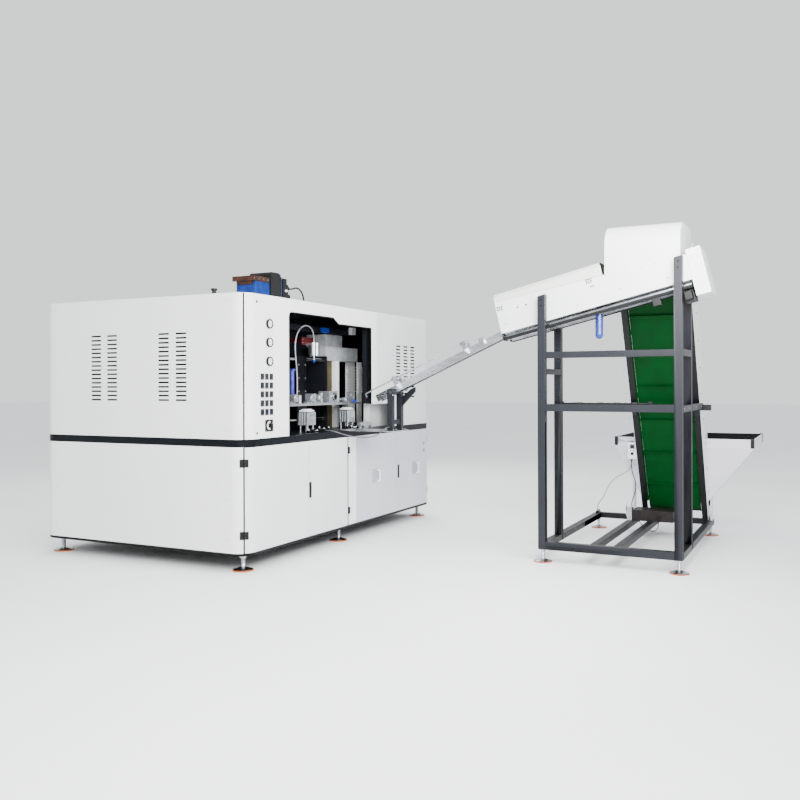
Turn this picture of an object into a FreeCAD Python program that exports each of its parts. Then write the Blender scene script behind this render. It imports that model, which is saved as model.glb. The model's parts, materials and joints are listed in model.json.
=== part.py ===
import FreeCAD, Part
import math, os, re, Sketcher

# Bottle blow moulding cabinet with its preform feeder. Millimetres, +Z up.
# Lengths are worked from the cabinet's virtual front left corner on the floor:
# X runs right along the front, Y runs back into the cabinet, so the feeder is at -Y.
# Every finished piece is then shifted so the row's origin is under the near levelling foot.

doc = FreeCAD.newDocument("BlowMoulder")
sizes = doc.addObject("Spreadsheet::Sheet", "Sizes")
TABLE = [
    # cabinet
    ("body_long", 3300, "cabinet length along the front"),
    ("body_deep", 2110, "cabinet depth"),
    ("body_high", 2100, "cabinet height over the roof sheet"),
    ("rail_low", 125, "underside of the black floor rail"),
    ("rail_thick", 20, "floor rail height"),
    ("band_low", 940, "underside of the dark waist band"),
    ("deck_top", 998, "top of the waist band and machine deck"),
    ("corner_rad", 130, "radius of the cabinet's upright corners"),
    ("sheet", 3, "cabinet sheet thickness"),
    ("seam", 3, "gap between panels"),
    ("window_left", 583, "left edge of the window"),
    ("window_right", 1960, "right edge of the window"),
    ("window_top", 1996, "top of the window at the left"),
    ("window_head", 1945, "top of the window at the right"),
    ("window_step", 1270, "where the window's head starts to step down"),
    ("panel_joint", 2070, "joint between the two front upper panels"),
    ("notch_right", 2290, "right edge of the in-feed notch"),
    ("notch_top", 1226, "top of the in-feed notch"),
    ("bay_gap", 1518, "middle of the dark gap between the two lower bays"),
    ("left_seam", 870, "seam between the left bay's doors"),
    ("right_seam", 2480, "seam between the right bay's doors"),
    ("slot_long", 108, "louvre slot length"),
    ("slot_high", 14, "louvre slot height"),
    ("slot_pitch", 34.4, "louvre slot pitch"),
    ("slot_low", 1292, "lowest louvre slot"),
    ("wall_back", 720, "depth of the dark wall behind the work space"),
    ("foot_in_x", 120, "near foot from the cabinet corner, X"),
    ("foot_in_y", 110, "near foot from the cabinet corner, Y"),
    ("pad_rad", 80, "levelling pad radius"),
    ("stem_rad", 16.5, "levelling stem radius"),
    # work space
    ("bar_z", 1226, "underside of the mandrel plate"),
    ("bar_y", 195, "front of the mandrel plate"),
    ("mould_open", 60, "half the mould gap at rest"),
    # feeder stand
    ("stand_x", 1387, "front face of the feeder stand"),
    ("stand_long", 1896, "length of the stand's base"),
    ("stand_left", -1810, "left side of the stand"),
    ("stand_right", -2915, "right side of the stand"),
    ("tube", 60, "square tube of the stand"),
    ("second_x", 1840, "front face of the second posts"),
    ("base_z", 100, "underside of the stand"),
    # trough
    ("trough_x", 1447, "outer face of the trough's near wall"),
    ("trough_y", -1489, "low end of the trough"),
    ("trough_z", 1819, "bottom of the trough at its low end"),
    ("trough_long", 1534, "trough length along its slope"),
    ("trough_tilt", 13.6, "trough slope, degrees"),
    ("trough_wide", 253, "trough width outside"),
    ("wall_low_end", 262, "near wall height at the low end"),
    ("wall_high_end", 192, "near wall height at the high end"),
    ("lid_long", 905, "lid length along the trough"),
    ("lid_high", 329, "top of the lid over the trough's bottom"),
    ("roll_rad", 30, "unscrambling roller radius"),
    ("roll_mid", 1575, "middle of the gap between the rollers, X"),
    ("roll_gap", 68, "gap between the rollers"),
    # hood
    ("hood_left", -2328, "left side of the hood"),
    ("hood_right", -2893, "right side of the hood"),
    ("hood_top", 2635, "top of the hood"),
    ("hood_back", 2010, "back edge of the hood"),
    ("hood_rad", 170, "radius of the hood's front top bend"),
    # elevator
    ("lift_x", 3172, "foot of the elevator's front face, X"),
    ("lift_z", 130, "foot of the elevator's front face, Z"),
    ("lift_tilt", 27.2, "elevator lean from upright, degrees"),
    ("lift_long", 2560, "elevator side length"),
    ("lift_deep", 300, "elevator side depth"),
    ("lift_foot", 22.5, "lower end of the elevator's sides along its lean"),
    ("lift_left", -2290, "elevator left side"),
    ("lift_right", -2875, "elevator right side"),
    ("drum_rad", 99.7, "belt drum radius"),
    ("drum_low", 150, "tail drum along the elevator"),
    ("drum_high", 2430, "head drum along the elevator"),
    ("belt_thick", 5, "belt thickness"),
    ("cleat_high", 26, "cleat height"),
    ("cleat_pitch", 337, "cleat pitch"),
    # hopper
    ("hop_near", 3000, "hopper near edge, X"),
    ("hop_far", 4050, "hopper far edge, X"),
    ("hop_left", -2060, "hopper left edge"),
    ("hop_right", -3280, "hopper right edge"),
    ("hop_top", 910, "hopper rim height"),
    ("hop_rim", 80, "upright rim height"),
    ("hop_low", 330, "hopper bottom"),
    # chute
    ("chute_y", -300, "low end of the chute"),
    ("chute_z", 1257, "underside of the chute rails at the low end"),
    ("chute_tilt", 24.3, "chute slope, degrees"),
    ("chute_long", 1290, "chute rail length"),
    ("rail_high", 62, "chute rail height"),
    ("rail_wide", 8, "chute rail thickness"),
]
NAMES = {row[0] for row in TABLE}
for line, (name, value, words) in enumerate(TABLE, 1):
    sizes.set("A%d" % line, words)
    sizes.set("B%d" % line, str(value))
    sizes.setAlias("B%d" % line, name)
doc.recompute()


def ex(text):
    # sheet names in a formula become references to the sheet
    return re.sub(r"[a-z][a-z_]*", lambda m: "Sizes." + m.group(0) if m.group(0) in NAMES else m.group(0), str(text))


def num(text):
    value = sizes.evalExpression(ex(text))
    return float(getattr(value, "Value", value))


def bind(obj, prop, text):
    obj.setExpression(prop, ex(text))


def seat(obj, x, y, z, axis=None, angle=None):
    # position, and a turn about one axis whose angle may come from the sheet
    if axis:
        obj.Placement = FreeCAD.Placement(FreeCAD.Vector(0, 0, 0),
                                          FreeCAD.Rotation(FreeCAD.Vector(*axis), num(angle)))
        if re.search("[a-z]", str(angle)):
            bind(obj, "Placement.Rotation.Angle", "(%s) * 1 deg" % angle)
    for key, text in zip("xyz", (x, y, z)):
        bind(obj, "Placement.Base." + key, text)
    return obj


def box(x0, x1, y0, y1, z0, z1):
    b = doc.addObject("Part::Box", "block")
    for prop, a, c in (("Length", x0, x1), ("Width", y0, y1), ("Height", z0, z1)):
        bind(b, prop, "(%s) - (%s)" % (c, a))
    return seat(b, x0, y0, z0)


TURN = {"x": ((0, 1, 0), 90), "y": ((-1, 0, 0), 90), "z": (None, None)}


def cyl(x, y, z, rad, long, along="z"):
    c = doc.addObject("Part::Cylinder", "round")
    bind(c, "Radius", rad)
    bind(c, "Height", long)
    return seat(c, x, y, z, *TURN[along])


def cone(x, y, z, low, high, tall):
    c = doc.addObject("Part::Cone", "taper")
    bind(c, "Radius1", low)
    bind(c, "Radius2", high)
    bind(c, "Height", tall)
    return seat(c, x, y, z)


def fuse(*parts):
    f = doc.addObject("Part::MultiFuse", "joined")
    f.Shapes = list(parts)
    return f


def group(*parts):
    g = doc.addObject("Part::Compound", "set")
    g.Links = list(parts)
    return g


def cut(base, tool):
    c = doc.addObject("Part::Cut", "cut")
    c.Base, c.Tool = base, tool
    return c


def common(a, b):
    c = doc.addObject("Part::Common", "shared")
    c.Base, c.Tool = a, b
    return c


def pad(plane, points, thick, x=0, y=0, z=0, axis=None, angle=None):
    # a closed outline on one origin plane of its own body, drawn from sheet formulas and padded
    # XY pads go up, XZ pads go back (+Y), YZ pads go right (+X)
    body = doc.addObject("PartDesign::Body", "plate")
    sketch = body.newObject("Sketcher::SketchObject", "outline")
    flat = [f for f in body.Origin.OriginFeatures if f.Role == plane + "_Plane"][0]
    sketch.AttachmentSupport = [(flat, "")]
    sketch.MapMode = "FlatFace"
    spots = [FreeCAD.Vector(num(u), num(v), 0) for u, v in points]
    count = len(points)
    for i in range(count):
        sketch.addGeometry(Part.LineSegment(spots[i], spots[(i + 1) % count]), False)
    for i in range(count):
        sketch.addConstraint(Sketcher.Constraint("Coincident", i, 2, (i + 1) % count, 1))
    for i, (u, v) in enumerate(points):
        for kind, text in (("DistanceX", u), ("DistanceY", v)):
            where = sketch.addConstraint(Sketcher.Constraint(kind, -1, 1, i, 1, num(text)))
            if re.search("[a-z]", str(text)):
                sketch.setExpression("Constraints[%d]" % where, ex(text))
    p = body.newObject("PartDesign::Pad", "pad")
    p.Profile = sketch
    bind(p, "Length", thick)
    p.Reversed = plane == "XZ"
    body.Tip = p
    return seat(body, x, y, z, axis, angle)


PIECES = {}


def piece(label, shape):
    # one physical piece, still in cabinet coordinates
    shape.Label = label + "_piece"
    PIECES[label] = shape


def ball(x, y, z, rad):
    b = doc.addObject("Part::Sphere", "ball")
    bind(b, "Radius", rad)
    return seat(b, x, y, z)


def hexnut(x, y, z, across, tall):
    # a six sided nut as three crossed bars
    half = "(%s) / 2" % across
    bars = []
    for turn in (0, 60, 120):
        b = doc.addObject("Part::Box", "block")
        bind(b, "Length", across)
        bind(b, "Width", "(%s) * 0.57735" % across)
        bind(b, "Height", tall)
        b.Placement = FreeCAD.Placement(FreeCAD.Vector(0, 0, 0), FreeCAD.Rotation(FreeCAD.Vector(0, 0, 1), turn))
        c, s = "cos(%d deg)" % turn, "sin(%d deg)" % turn
        bind(b, "Placement.Base.x", "(%s) - %s * %s + (%s) * 0.288675 * %s" % (x, half, c, across, s))
        bind(b, "Placement.Base.y", "(%s) - %s * %s - (%s) * 0.288675 * %s" % (y, half, s, across, c))
        bind(b, "Placement.Base.z", z)
        bars.append(b)
    return fuse(*bars)


# ---- rounded plan outline of the cabinet, as a solid slab between two heights
def slab(inset, z0, z1):
    r = "(corner_rad - (%s))" % inset
    i = "(%s)" % inset
    parts = [box("corner_rad", "body_long - corner_rad", i, "body_deep - " + i, z0, z1),
             box(i, "body_long - " + i, "corner_rad", "body_deep - corner_rad", z0, z1)]
    for cx in ("corner_rad", "body_long - corner_rad"):
        for cy in ("corner_rad", "body_deep - corner_rad"):
            parts.append(cyl(cx, cy, z0, r, "(%s) - (%s)" % (z1, z0)))
    return fuse(*parts)


def skin(z0, z1):
    return cut(slab("0", z0, z1), slab("sheet", "(%s) - 5" % z0, "(%s) + 5" % z1))


lower_skin = skin("rail_low + rail_thick", "band_low")
door_skin = skin("rail_low + rail_thick + 2", "band_low - 2")
upper_skin = skin("deck_top", "body_high - sheet")

# plan regions that share the skins out between panels; the corners split on their 45 degree line
R = "corner_rad"
end_near = [("-30", "-30"), (R, R), (R, "body_deep - corner_rad"), ("-30", "body_deep + 30")]
end_far = [("body_long + 30", "-30"), ("body_long + 30", "body_deep + 30"),
           ("body_long - corner_rad", "body_deep - corner_rad"), ("body_long - corner_rad", R)]
back_zone = [("-30 + seam", "body_deep + 30"), ("corner_rad + seam", "body_deep - corner_rad"),
             ("body_long - corner_rad - seam", "body_deep - corner_rad"), ("body_long + 30 - seam", "body_deep + 30")]


def front_zone(left, right):
    # left or right None means the 45 degree corner split
    if left is None:
        a = [("-30 + seam * 1.3", "-30"), ("corner_rad + seam * 1.3", R)]
    else:
        a = [(left, "-30"), (left, R)]
    if right is None:
        b = [("body_long - corner_rad - seam * 1.3", R), ("body_long + 30 - seam * 1.3", "-30")]
    else:
        b = [(right, R), (right, "-30")]
    return a + b


def zone(points, z0="100", z1="2120"):
    return pad("XY", points, "(%s) - (%s)" % (z1, z0), 0, 0, z0)


# ---- floor tray, deck, roof
piece("floor_tray", slab("0", "rail_low", "rail_low + rail_thick"))
piece("deck", cut(slab("0", "band_low", "deck_top"), slab("40", "band_low - 5", "deck_top - 12")))
piece("roof_panel", slab("0", "body_high - sheet", "body_high"))

# ---- louvre slots: one column of sixteen
def slots_end(y):
    return [box("-5", "sheet + 5", "%s - slot_long / 2" % y, "%s + slot_long / 2" % y,
                "slot_low + slot_pitch * %d - slot_high / 2" % i,
                "slot_low + slot_pitch * %d + slot_high / 2" % i) for i in range(16)]


def slots_front(x, wide):
    return [box("%s - %s / 2" % (x, wide), "%s + %s / 2" % (x, wide), "-5", "sheet + 5",
                "slot_low - 7 + 33.9 * %d - slot_high / 2" % i,
                "slot_low - 7 + 33.9 * %d + slot_high / 2" % i) for i in range(16)]


end_columns = ["605", "780", "1320", "1493"]
end_slots = group(*[s for y in end_columns for s in slots_end(y)])
far_slots = group(*[s for y in end_columns for s in slots_end(y)])
seat(far_slots, "body_long - sheet", 0, 0)
front_slots = group(*[s for x in ("2528", "2694", "2852") for s in slots_front(x, "95")])

# ---- fixed outer panels
piece("end_panel_upper", cut(common(upper_skin, zone(end_near)), end_slots))
piece("far_panel_upper", cut(common(upper_skin, zone(end_far)), far_slots))
piece("back_panel_lower", common(lower_skin, zone(back_zone)))
piece("back_panel_upper", common(upper_skin, zone(back_zone)))

win = [("window_left", "deck_top - 20"), ("window_right", "deck_top - 20"), ("window_right", "window_head"),
       ("window_step + 90", "window_head"), ("window_step", "window_top"), ("window_left + 36", "window_top"),
       ("window_left + 11", "window_top - 11"), ("window_left", "window_top - 36")]
window_hole = pad("XZ", win, "40", 0, "-15", 0)
notch_hole = box("window_right - 5", "notch_right", "-15", "30", "deck_top - 20", "notch_top")
piece("front_panel_upper", cut(common(upper_skin, zone(front_zone(None, "panel_joint - seam"))),
                              group(window_hole, notch_hole)))
notch_two = box("window_right - 5", "notch_right", "-15", "30", "deck_top - 20", "notch_top")
piece("right_panel_upper", cut(cut(common(upper_skin, zone(front_zone("panel_joint", None))), notch_two), front_slots))
edge_out = [("window_left", "deck_top"), ("window_left + 9", "deck_top"), ("window_left + 9", "window_top - 39"),
            ("window_left + 17", "window_top - 17"), ("window_left + 39", "window_top - 9"),
            ("window_step - 3", "window_top - 9"), ("window_step + 87", "window_head - 9"),
            ("window_right - 9", "window_head - 9"), ("window_right - 9", "notch_top"),
            ("window_right", "notch_top"), ("window_right", "window_head"), ("window_step + 90", "window_head"),
            ("window_step", "window_top"), ("window_left + 36", "window_top"),
            ("window_left + 11", "window_top - 11"), ("window_left", "window_top - 36")]
piece("window_trim", pad("XZ", edge_out, "12", 0, "-3", 0))

# ---- lower doors with their hinges; the pins stand just outside the sheets
def leaf(side, zs, moving, reach=34):
    # local X lies along the sheet, local Y points into the cabinet; the pin is at the local origin
    bits = []
    near, away = ("0", "%d" % reach) if (side > 0) == moving else ("-%d" % reach, "0")
    for z in zs:
        plate = box(near, away, "2", "9", z, z + " + 60")
        if moving:
            sleeve = fuse(plate, cyl("0", "0", z, "6", "60"))
            free = group(cyl("0", "0", z + " + 15", "3.05", "30"),
                         box("-7.5", "7.5", "-7.5", "9.5", z + " - 1", z + " + 20.3"),
                         box("-7.5", "7.5", "-7.5", "9.5", z + " + 39.7", z + " + 61"))
            bits.append(cut(sleeve, free))
        else:
            ends = fuse(plate, cyl("0", "0", z, "6", "60"))
            free = box("-7.5", "7.5", "-7.5", "9.5", z + " + 20", z + " + 40")
            bits.append(fuse(cut(ends, free), cyl("0", "0", z, "3", "60")))
    return bits


HINGE_Z = ("250", "790")
PIN_IN = "corner_rad - (corner_rad + 8) * 0.70710678"
near_spot = (PIN_IN, PIN_IN, 0, (0, 0, 1), -45)
far_spot = ("body_long - (%s)" % PIN_IN, PIN_IN, 0, (0, 0, 1), 45)


def leaves_at(spot, side, moving):
    return seat(group(*leaf(side, HINGE_Z, moving)), *spot)


piece("end_panel_lower", fuse(common(lower_skin, zone(end_near)), leaves_at(near_spot, 1, False)))
piece("far_panel_lower", fuse(common(lower_skin, zone(end_far)), leaves_at(far_spot, -1, False)))

# the divider's dark front edge shows between the bays and carries the middle pins
middle = []
for pin in ("bay_gap - 10", "bay_gap + 10"):
    for z in HINGE_Z:
        ends = cyl(pin, "-8", z, "6", "60")
        free = box(pin + " - 7", pin + " + 7", "-15", "-1", z + " + 20", z + " + 40")
        middle += [cut(ends, free), cyl(pin, "-8", z, "3", "60")]
for z in HINGE_Z:
    for low, high in (("0", "20"), ("40", "60")):
        middle.append(box("bay_gap - 6", "bay_gap + 6", "-11", "5", z + " + " + low, z + " + " + high))
divider = box("bay_gap - 7", "bay_gap + 7", "4", "body_deep - sheet", "rail_low + rail_thick", "band_low")
piece("bay_divider", fuse(divider, *middle))

door_a = common(door_skin, zone(front_zone(None, "left_seam - seam / 2")))
door_b = common(door_skin, zone(front_zone("left_seam + seam / 2", "bay_gap - 8")))
door_c = common(door_skin, zone(front_zone("bay_gap + 8", "right_seam - seam / 2")))
door_d = common(door_skin, zone(front_zone("right_seam + seam / 2", None)))
b_leaf = seat(group(*leaf(-1, HINGE_Z, True)), "bay_gap - 10", "-8", 0)
c_leaf = seat(group(*leaf(1, HINGE_Z, True)), "bay_gap + 10", "-8", 0)
piece("door_a", fuse(door_a, leaves_at(near_spot, 1, True)))
piece("door_b", fuse(door_b, b_leaf))
piece("door_c", fuse(door_c, c_leaf))
piece("door_d", fuse(door_d, leaves_at(far_spot, -1, True)))


# flush slot catches on the left edges of doors b and d
def catch(x, z):
    return cut(box(x + " - 13", x + " + 13", "-3", "0", z, z + " + 130"),
               box(x + " - 6", x + " + 6", "-4", "-1", z + " + 14", z + " + 116"))


piece("catch_b", catch("893", "467"))
piece("catch_d", catch("2523", "477"))


# bow pulls on doors c and d: a backing plate with a bar standing off it
def pull(x):
    z = "479"
    plate = box(x, x + " + 120", "-3", "0", z, z + " + 128")
    bar = [box(x + " + 92", x + " + 108", "-34", "-3", z + " + 4", z + " + 20"),
           box(x + " + 92", x + " + 108", "-34", "-3", z + " + 108", z + " + 124"),
           box(x + " + 92", x + " + 108", "-34", "-22", z + " + 4", z + " + 124")]
    return fuse(plate, *bar)


piece("pull_c", pull("1976"))
piece("pull_d", pull("2832"))


# two quarter turn locks near the far end of door d: a fixed ring and a turning core
lock_z = ("788", "714")
piece("lock_rings", group(*[cut(cyl("3120", "-8", z, "17", "8", "y"), cyl("3120", "-9", z, "11.05", "10", "y"))
                           for z in lock_z]))
for name, z in zip(("lock_core_upper", "lock_core_lower"), lock_z):
    core = cyl("3120", "-10", z, "11", "9.9", "y")
    piece(name, cut(core, box("3120 - 1.5", "3120 + 1.5", "-11", "-6", z + " - 7", z + " + 7")))

# ---- levelling feet: rubber pads and steel stems
foot_spots = [(x, y) for x in ("foot_in_x", "bay_gap + 12", "body_long - foot_in_x")
              for y in ("foot_in_y", "body_deep - foot_in_y")]
piece("cabinet_foot_pads", group(*[cyl(x, y, "0", "pad_rad", "10") for x, y in foot_spots]))
piece("cabinet_foot_stems", group(*[fuse(cone(x, y, "10", "pad_rad - 4", "26", "18"),
                                        cyl(x, y, "20", "stem_rad", "rail_low - 20"),
                                        hexnut(x, y, "rail_low - 26", "50", "26")) for x, y in foot_spots]))

# ---- gauges, control modules and mains isolator on the front left panel
gauge_z = ("1590", "1737", "1880")
piece("gauge_cases", group(*[fuse(cyl("305", "-14", z, "36", "14", "y"), cyl("305", "3", z, "30", "42", "y"))
                            for z in gauge_z]))
piece("gauge_dials", group(*[cyl("305", "-14.8", z, "29", "0.8", "y") for z in gauge_z]))
module_x = ("217", "275", "335")
piece("control_modules", group(*[box(x + " - 20", x + " + 20", "-7", "0", "1471 - 68 * %d - 24" % i, "1471 - 68 * %d + 24" % i)
                                for x in module_x for i in range(5)]))
plate = box("303 - 50", "303 + 50", "-8", "0", "1094 - 46", "1094 + 46")
piece("isolator_plate", cut(plate, cyl("303", "-9", "1094", "18.05", "10", "y")))
piece("isolator_knob", fuse(cyl("303", "-20", "1094", "18", "20", "y"), box("303 - 7", "303 + 7", "-34", "-20", "1094 - 30", "1094 + 30")))

# ---- dark walls round the work space, standing on the deck
piece("work_walls", group(
    box("520", "2600", "wall_back", "wall_back + 4", "deck_top", "body_high - sheet"),
    box("516", "520", "sheet", "wall_back + 4", "deck_top", "body_high - sheet"),
    box("2600", "2604", "sheet", "wall_back + 4", "deck_top", "body_high - sheet")))
piece("louvre_filters", group(
    box("sheet", "sheet + 12", "530", "860", "1270", "1830"), box("sheet", "sheet + 12", "1240", "1570", "1270", "1830"),
    box("body_long - sheet - 12", "body_long - sheet", "530", "860", "1270", "1830"),
    box("body_long - sheet - 12", "body_long - sheet", "1240", "1570", "1270", "1830")))
piece("window_post", box("1952", "2042", "52", "92", "notch_top + 2", "body_high - sheet"))
piece("infeed_panel", fuse(box("2050", "2595", "130", "133", "deck_top", "1250"), box("2050", "2053", "70", "133", "deck_top", "1250")))

# ---- mandrel plate with its round hubs and the transfer disc, on two uprights
piece("mandrel_posts", group(box("960", "1010", "300", "340", "deck_top", "bar_z"),
                            box("1985", "2035", "300", "340", "deck_top", "bar_z")))
piece("mandrel_plate", box("885", "2125", "bar_y", "bar_y + 190", "bar_z", "bar_z + 20"))
hubs = []
for x in ("985", "1245", "1380"):
    ring = cut(cyl(x, "bar_y + 2", "1292", "34", "60", "y"), cyl(x, "bar_y", "1292", "14", "40", "y"))
    hubs += [ring, box(x + " - 44", x + " + 44", "bar_y + 30", "bar_y + 70", "bar_z + 20", "1262")]
hubs += [cyl("1122", "bar_y + 60", "bar_z + 20", "17", "70"), cyl("1480", "bar_y + 60", "bar_z + 20", "13", "88"),
         box("1300", "1326", "bar_y + 20", "bar_y + 120", "bar_z + 20", "1330")]
piece("mandrel_hubs", group(*hubs))
piece("transfer_block", cut(box("1560", "1700", "bar_y + 20", "bar_y + 140", "bar_z + 20", "1350"),
                           cyl("1630", "bar_y + 10", "1297", "38.05", "60", "y")))
piece("transfer_disc", fuse(cyl("1630", "bar_y + 14", "1297", "38", "55", "y"), cyl("1630", "bar_y + 6", "1297", "15", "8", "y")))
piece("loader_arm", group(fuse(box("1880", "1990", "bar_y + 30", "bar_y + 80", "bar_z + 20", "1290"),
                              box("1790", "1880", "bar_y + 42", "bar_y + 58", "1262", "1282")),
                         cyl("1960", "bar_y + 4", "1310", "22", "50", "y")))
piece("loader_knob", cyl("1952", "bar_y - 26", "1254", "15", "26", "y"))

# ---- two finned air cylinders under the plate, each with a rising cap
for name, x in (("left", "1100"), ("right", "1790")):
    fins = [box(x, x + " + 125", "155", "262", "1058", "1170")]
    fins += [box(x + " + %d" % (6 + 30 * i), x + " + %d" % (24 + 30 * i), "149", "155", "1062", "1166") for i in range(4)]
    fins += [box(x + " - 6", x, "%d" % (161 + 26 * i), "%d" % (177 + 26 * i), "1062", "1166") for i in range(4)]
    fins += [cyl(x + " + %d" % dx, str(dy), "deck_top", "7", "1058 - deck_top") for dx in (18, 107) for dy in (172, 244)]
    piece(name + "_air_cylinder", cut(fuse(*fins), cyl(x + " + 62", "208", "1100", "16.05", "80")))
    piece(name + "_lift_cap", fuse(cyl(x + " + 62", "208", "1101", "16", "74"), box(x + " + 12", x + " + 112", "163", "253", "1175", "1187"),
                                  box(x + " + 30", x + " + 94", "175", "241", "1187", "1197")))

# ---- mould pair on tie bars behind the mandrel plate
tie = [(y, z) for y in ("430", "640") for z in ("1090", "1640")]
piece("tie_bars", group(*[cyl("700", y, z, "18", "1100", "x") for y, z in tie],
                       box("680", "700", "400", "670", "deck_top", "1680"), box("1800", "1820", "400", "670", "deck_top", "1680")))


def mould(x0, x1, hollow):
    block = box(x0, x1, "405", "665", "1060", "1670")
    holes = group(*[cyl("600", y, z, "18.05", "1400", "x") for y, z in tie])
    body = cut(block, holes)
    return cut(body, cyl(hollow, "535", "1050", "75", "560"))


piece("mould_left", mould("1260 - mould_open - 150", "1260 - mould_open", "1260 - mould_open"))
piece("mould_right", mould("1260 + mould_open", "1260 + mould_open + 150", "1260 + mould_open"))

# ---- twin blow cylinder on a red bracket, with its sliding nozzle and an arched hose
piece("blow_bracket", fuse(box("1340", "1560", "372", "384", "1770", "1840"), box("1500", "1560", "384", "wall_back", "1800", "1840")))
twin = fuse(box("1448", "1572", "334", "372", "1680", "1790"), cyl("1484", "340", "1676", "22", "118"), cyl("1536", "340", "1676", "22", "118"))
piece("blow_cylinder", cut(twin, cyl("1510", "352", "1670", "10.05", "100")))
piece("blow_nozzle", fuse(cyl("1510", "352", "1640", "10", "120"), cone("1510", "352", "1612", "5", "17", "28")))
piece("side_cylinder", fuse(cyl("1090", "312", "1330", "20", "200"), box("1068", "1112", "290", "334", "1530", "1548"),
                           box("1068", "1112", "290", "334", "bar_z + 20", "1330")))
piece("head_beam", group(box("520", "2600", "400", "440", "1900", "1950"), cyl("1705", "380", "1920", "16", "90", "x"),
                        box("1700", "1800", "364", "400", "1900", "1945")))

# ---- grey air ducts, oven plate, lamp rack and white terminal box
piece("oven_ducts", group(box("1960", "2270", "500", "wall_back", "1775", "1899"),
                         box("1830", "2440", "420", "600", "1640", "1775")))
piece("oven_plate", box("1876", "2052", "452", "458", "deck_top", "1640"))
piece("oven_bar", box("1990", "2040", "400", "452", "deck_top", "1640"))
lamps = [box("2380", "2560", "520", "530", "deck_top", "1640"), box("2470", "2560", "440", "450", "deck_top", "1640")]
lamps += [box("2386", "2540", "500", "520", "1340 + 30 * %d" % i, "1354 + 30 * %d" % i) for i in range(9)]
lamps += [box("2474", "2556", "424", "440", "1330 + 27 * %d" % i, "1344 + 27 * %d" % i) for i in range(10)]
piece("lamp_rack", group(*lamps))
piece("terminal_box", group(box("2230", "2300", "360", "400", "1905", "1975")))

# ---- valve and fittings on the deck at the in-feed
piece("deck_valve", fuse(cyl("1830", "60", "1034", "20", "200", "x"), box("1890", "1970", "36", "84", "deck_top", "1060"),
                        cyl("1850", "60", "deck_top", "14", "40"), cyl("2000", "60", "deck_top", "12", "40"),
                        cyl("1930", "60", "1060", "9", "20")))
piece("deck_manifold", group(box("2030", "2045", "40", "80", "deck_top", "1050")))

# ---- drive and valve block on the roof
piece("roof_motor", box("900", "1110", "560", "760", "body_high", "2310"))
piece("roof_motor_lid", fuse(box("860", "1090", "545", "775", "2310", "2352"), box("880", "940", "580", "740", "2280", "2310")))
roof_profile = [("1110", "body_high"), ("1275", "body_high"), ("1275", "2370"), ("1240", "2410"), ("1125", "2410"), ("1110", "2395")]
piece("roof_block", pad("XZ", roof_profile, "230", 0, "545", 0))
piece("roof_cylinder", fuse(cyl("1318", "620", "2210", "40", "180"), cyl("1318", "620", "2200", "32", "210"), box("1275", "1318", "600", "640", "2240", "2300")))
piece("roof_valves", group(fuse(box("1340", "1430", "560", "680", "body_high", "2200"), box("1362", "1450", "590", "650", "2200", "2330"),
                               cyl("1450", "620", "2300", "22", "34", "x"), cyl("1450", "620", "2225", "26", "40", "x"), box("1380", "1440", "600", "640", "2330", "2384"))))
piece("roof_knob", fuse(cyl("60", "330", "body_high", "16", "30"), cyl("60", "330", "body_high + 30", "24", "16")))

# ======== feeder stand: square tubes, each its own solid
T = "tube"
left0, left1 = "stand_left - tube", "stand_left"
right0, right1 = "stand_right", "stand_right + tube"
x0, x1 = "stand_x", "stand_x + tube"
back = "stand_x + stand_long"


def post(x, y, low, high):
    # the top is cut to the slope of the trough, rising away from the cabinet
    tops = [(y, low), (y + " + tube", low), (y + " + tube", high), (y, high + " + tube * tan(trough_tilt * 1 deg)")]
    return pad("YZ", tops, "tube", x)


piece("stand_posts_front", group(post("stand_x", left0, "base_z", "2104"), post("stand_x", right0, "base_z", "2341")))
piece("stand_posts_second", group(box("second_x", "second_x + tube", left0, left1, "base_z", "1880"),
                                 box("second_x", "second_x + tube", right0, right1, "base_z", "2105")))
piece("stand_cross_rails", group(box(x0, x1, right1, left0, "1612", "1662"), box(x0, x1, right1, left0, "1193", "1250"),
                                box(x0, x1, right1, left0, "base_z", "base_z + 60")))
piece("stand_side_rails", group(
    box(x1, "second_x", left0, left1, "1485", "1530"), box(x1, "second_x", right0, right1, "1615", "1667"),
    box(x1, "second_x", left0, left1, "1193", "1243"), box(x1, "second_x", right0, right1, "1193", "1243"),
    box("second_x + tube", "2540", left0, left1, "1193", "1243"),
    box("second_x + tube", "2540", right0, right1, "1193", "1243"),
    box("2540", "2590", "stand_right - 60", "stand_left", "1178", "1228")))
piece("stand_base", group(
    box(x1, "second_x", left0, left1, "base_z", "base_z + 50"), box(x1, "second_x", right0, right1, "base_z", "base_z + 50"),
    box("second_x + tube", back, left0, left1, "base_z", "base_z + 50"),
    box("second_x + tube", back, right0, right1, "base_z", "base_z + 50"),
    box(x1, back + " - 60", "-2256", "-2196", "base_z", "base_z + 50"),
    box(x1, back + " - 60", "-2440", "-2380", "base_z", "base_z + 50"),
    box(back + " - 60", back, right1, left0, "base_z", "base_z + 50")))
stand_feet = [("1417", "-1842"), ("1417", "-2885"), ("3245", "-1842"), ("3245", "-2885")]
piece("stand_foot_pads", group(*[cyl(x, y, "0", "72", "9") for x, y in stand_feet]))
piece("stand_foot_stems", group(*[fuse(cone(x, y, "9", "68", "22", "16"), cyl(x, y, "20", "12.5", "base_z - 20"),
                                      hexnut(x, y, "base_z - 18", "36", "18")) for x, y in stand_feet],
                               *[fuse(cyl(x, y, "base_z + 50", "12.5", "30"), hexnut(x, y, "base_z + 50", "36", "18"))
                                 for x, y in stand_feet[2:]]))

# ======== trough: local X across, local Y down the slope, local Z out of it
TILT = "trough_tilt"
cosa, sina = "cos(trough_tilt * 1 deg)", "sin(trough_tilt * 1 deg)"


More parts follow.
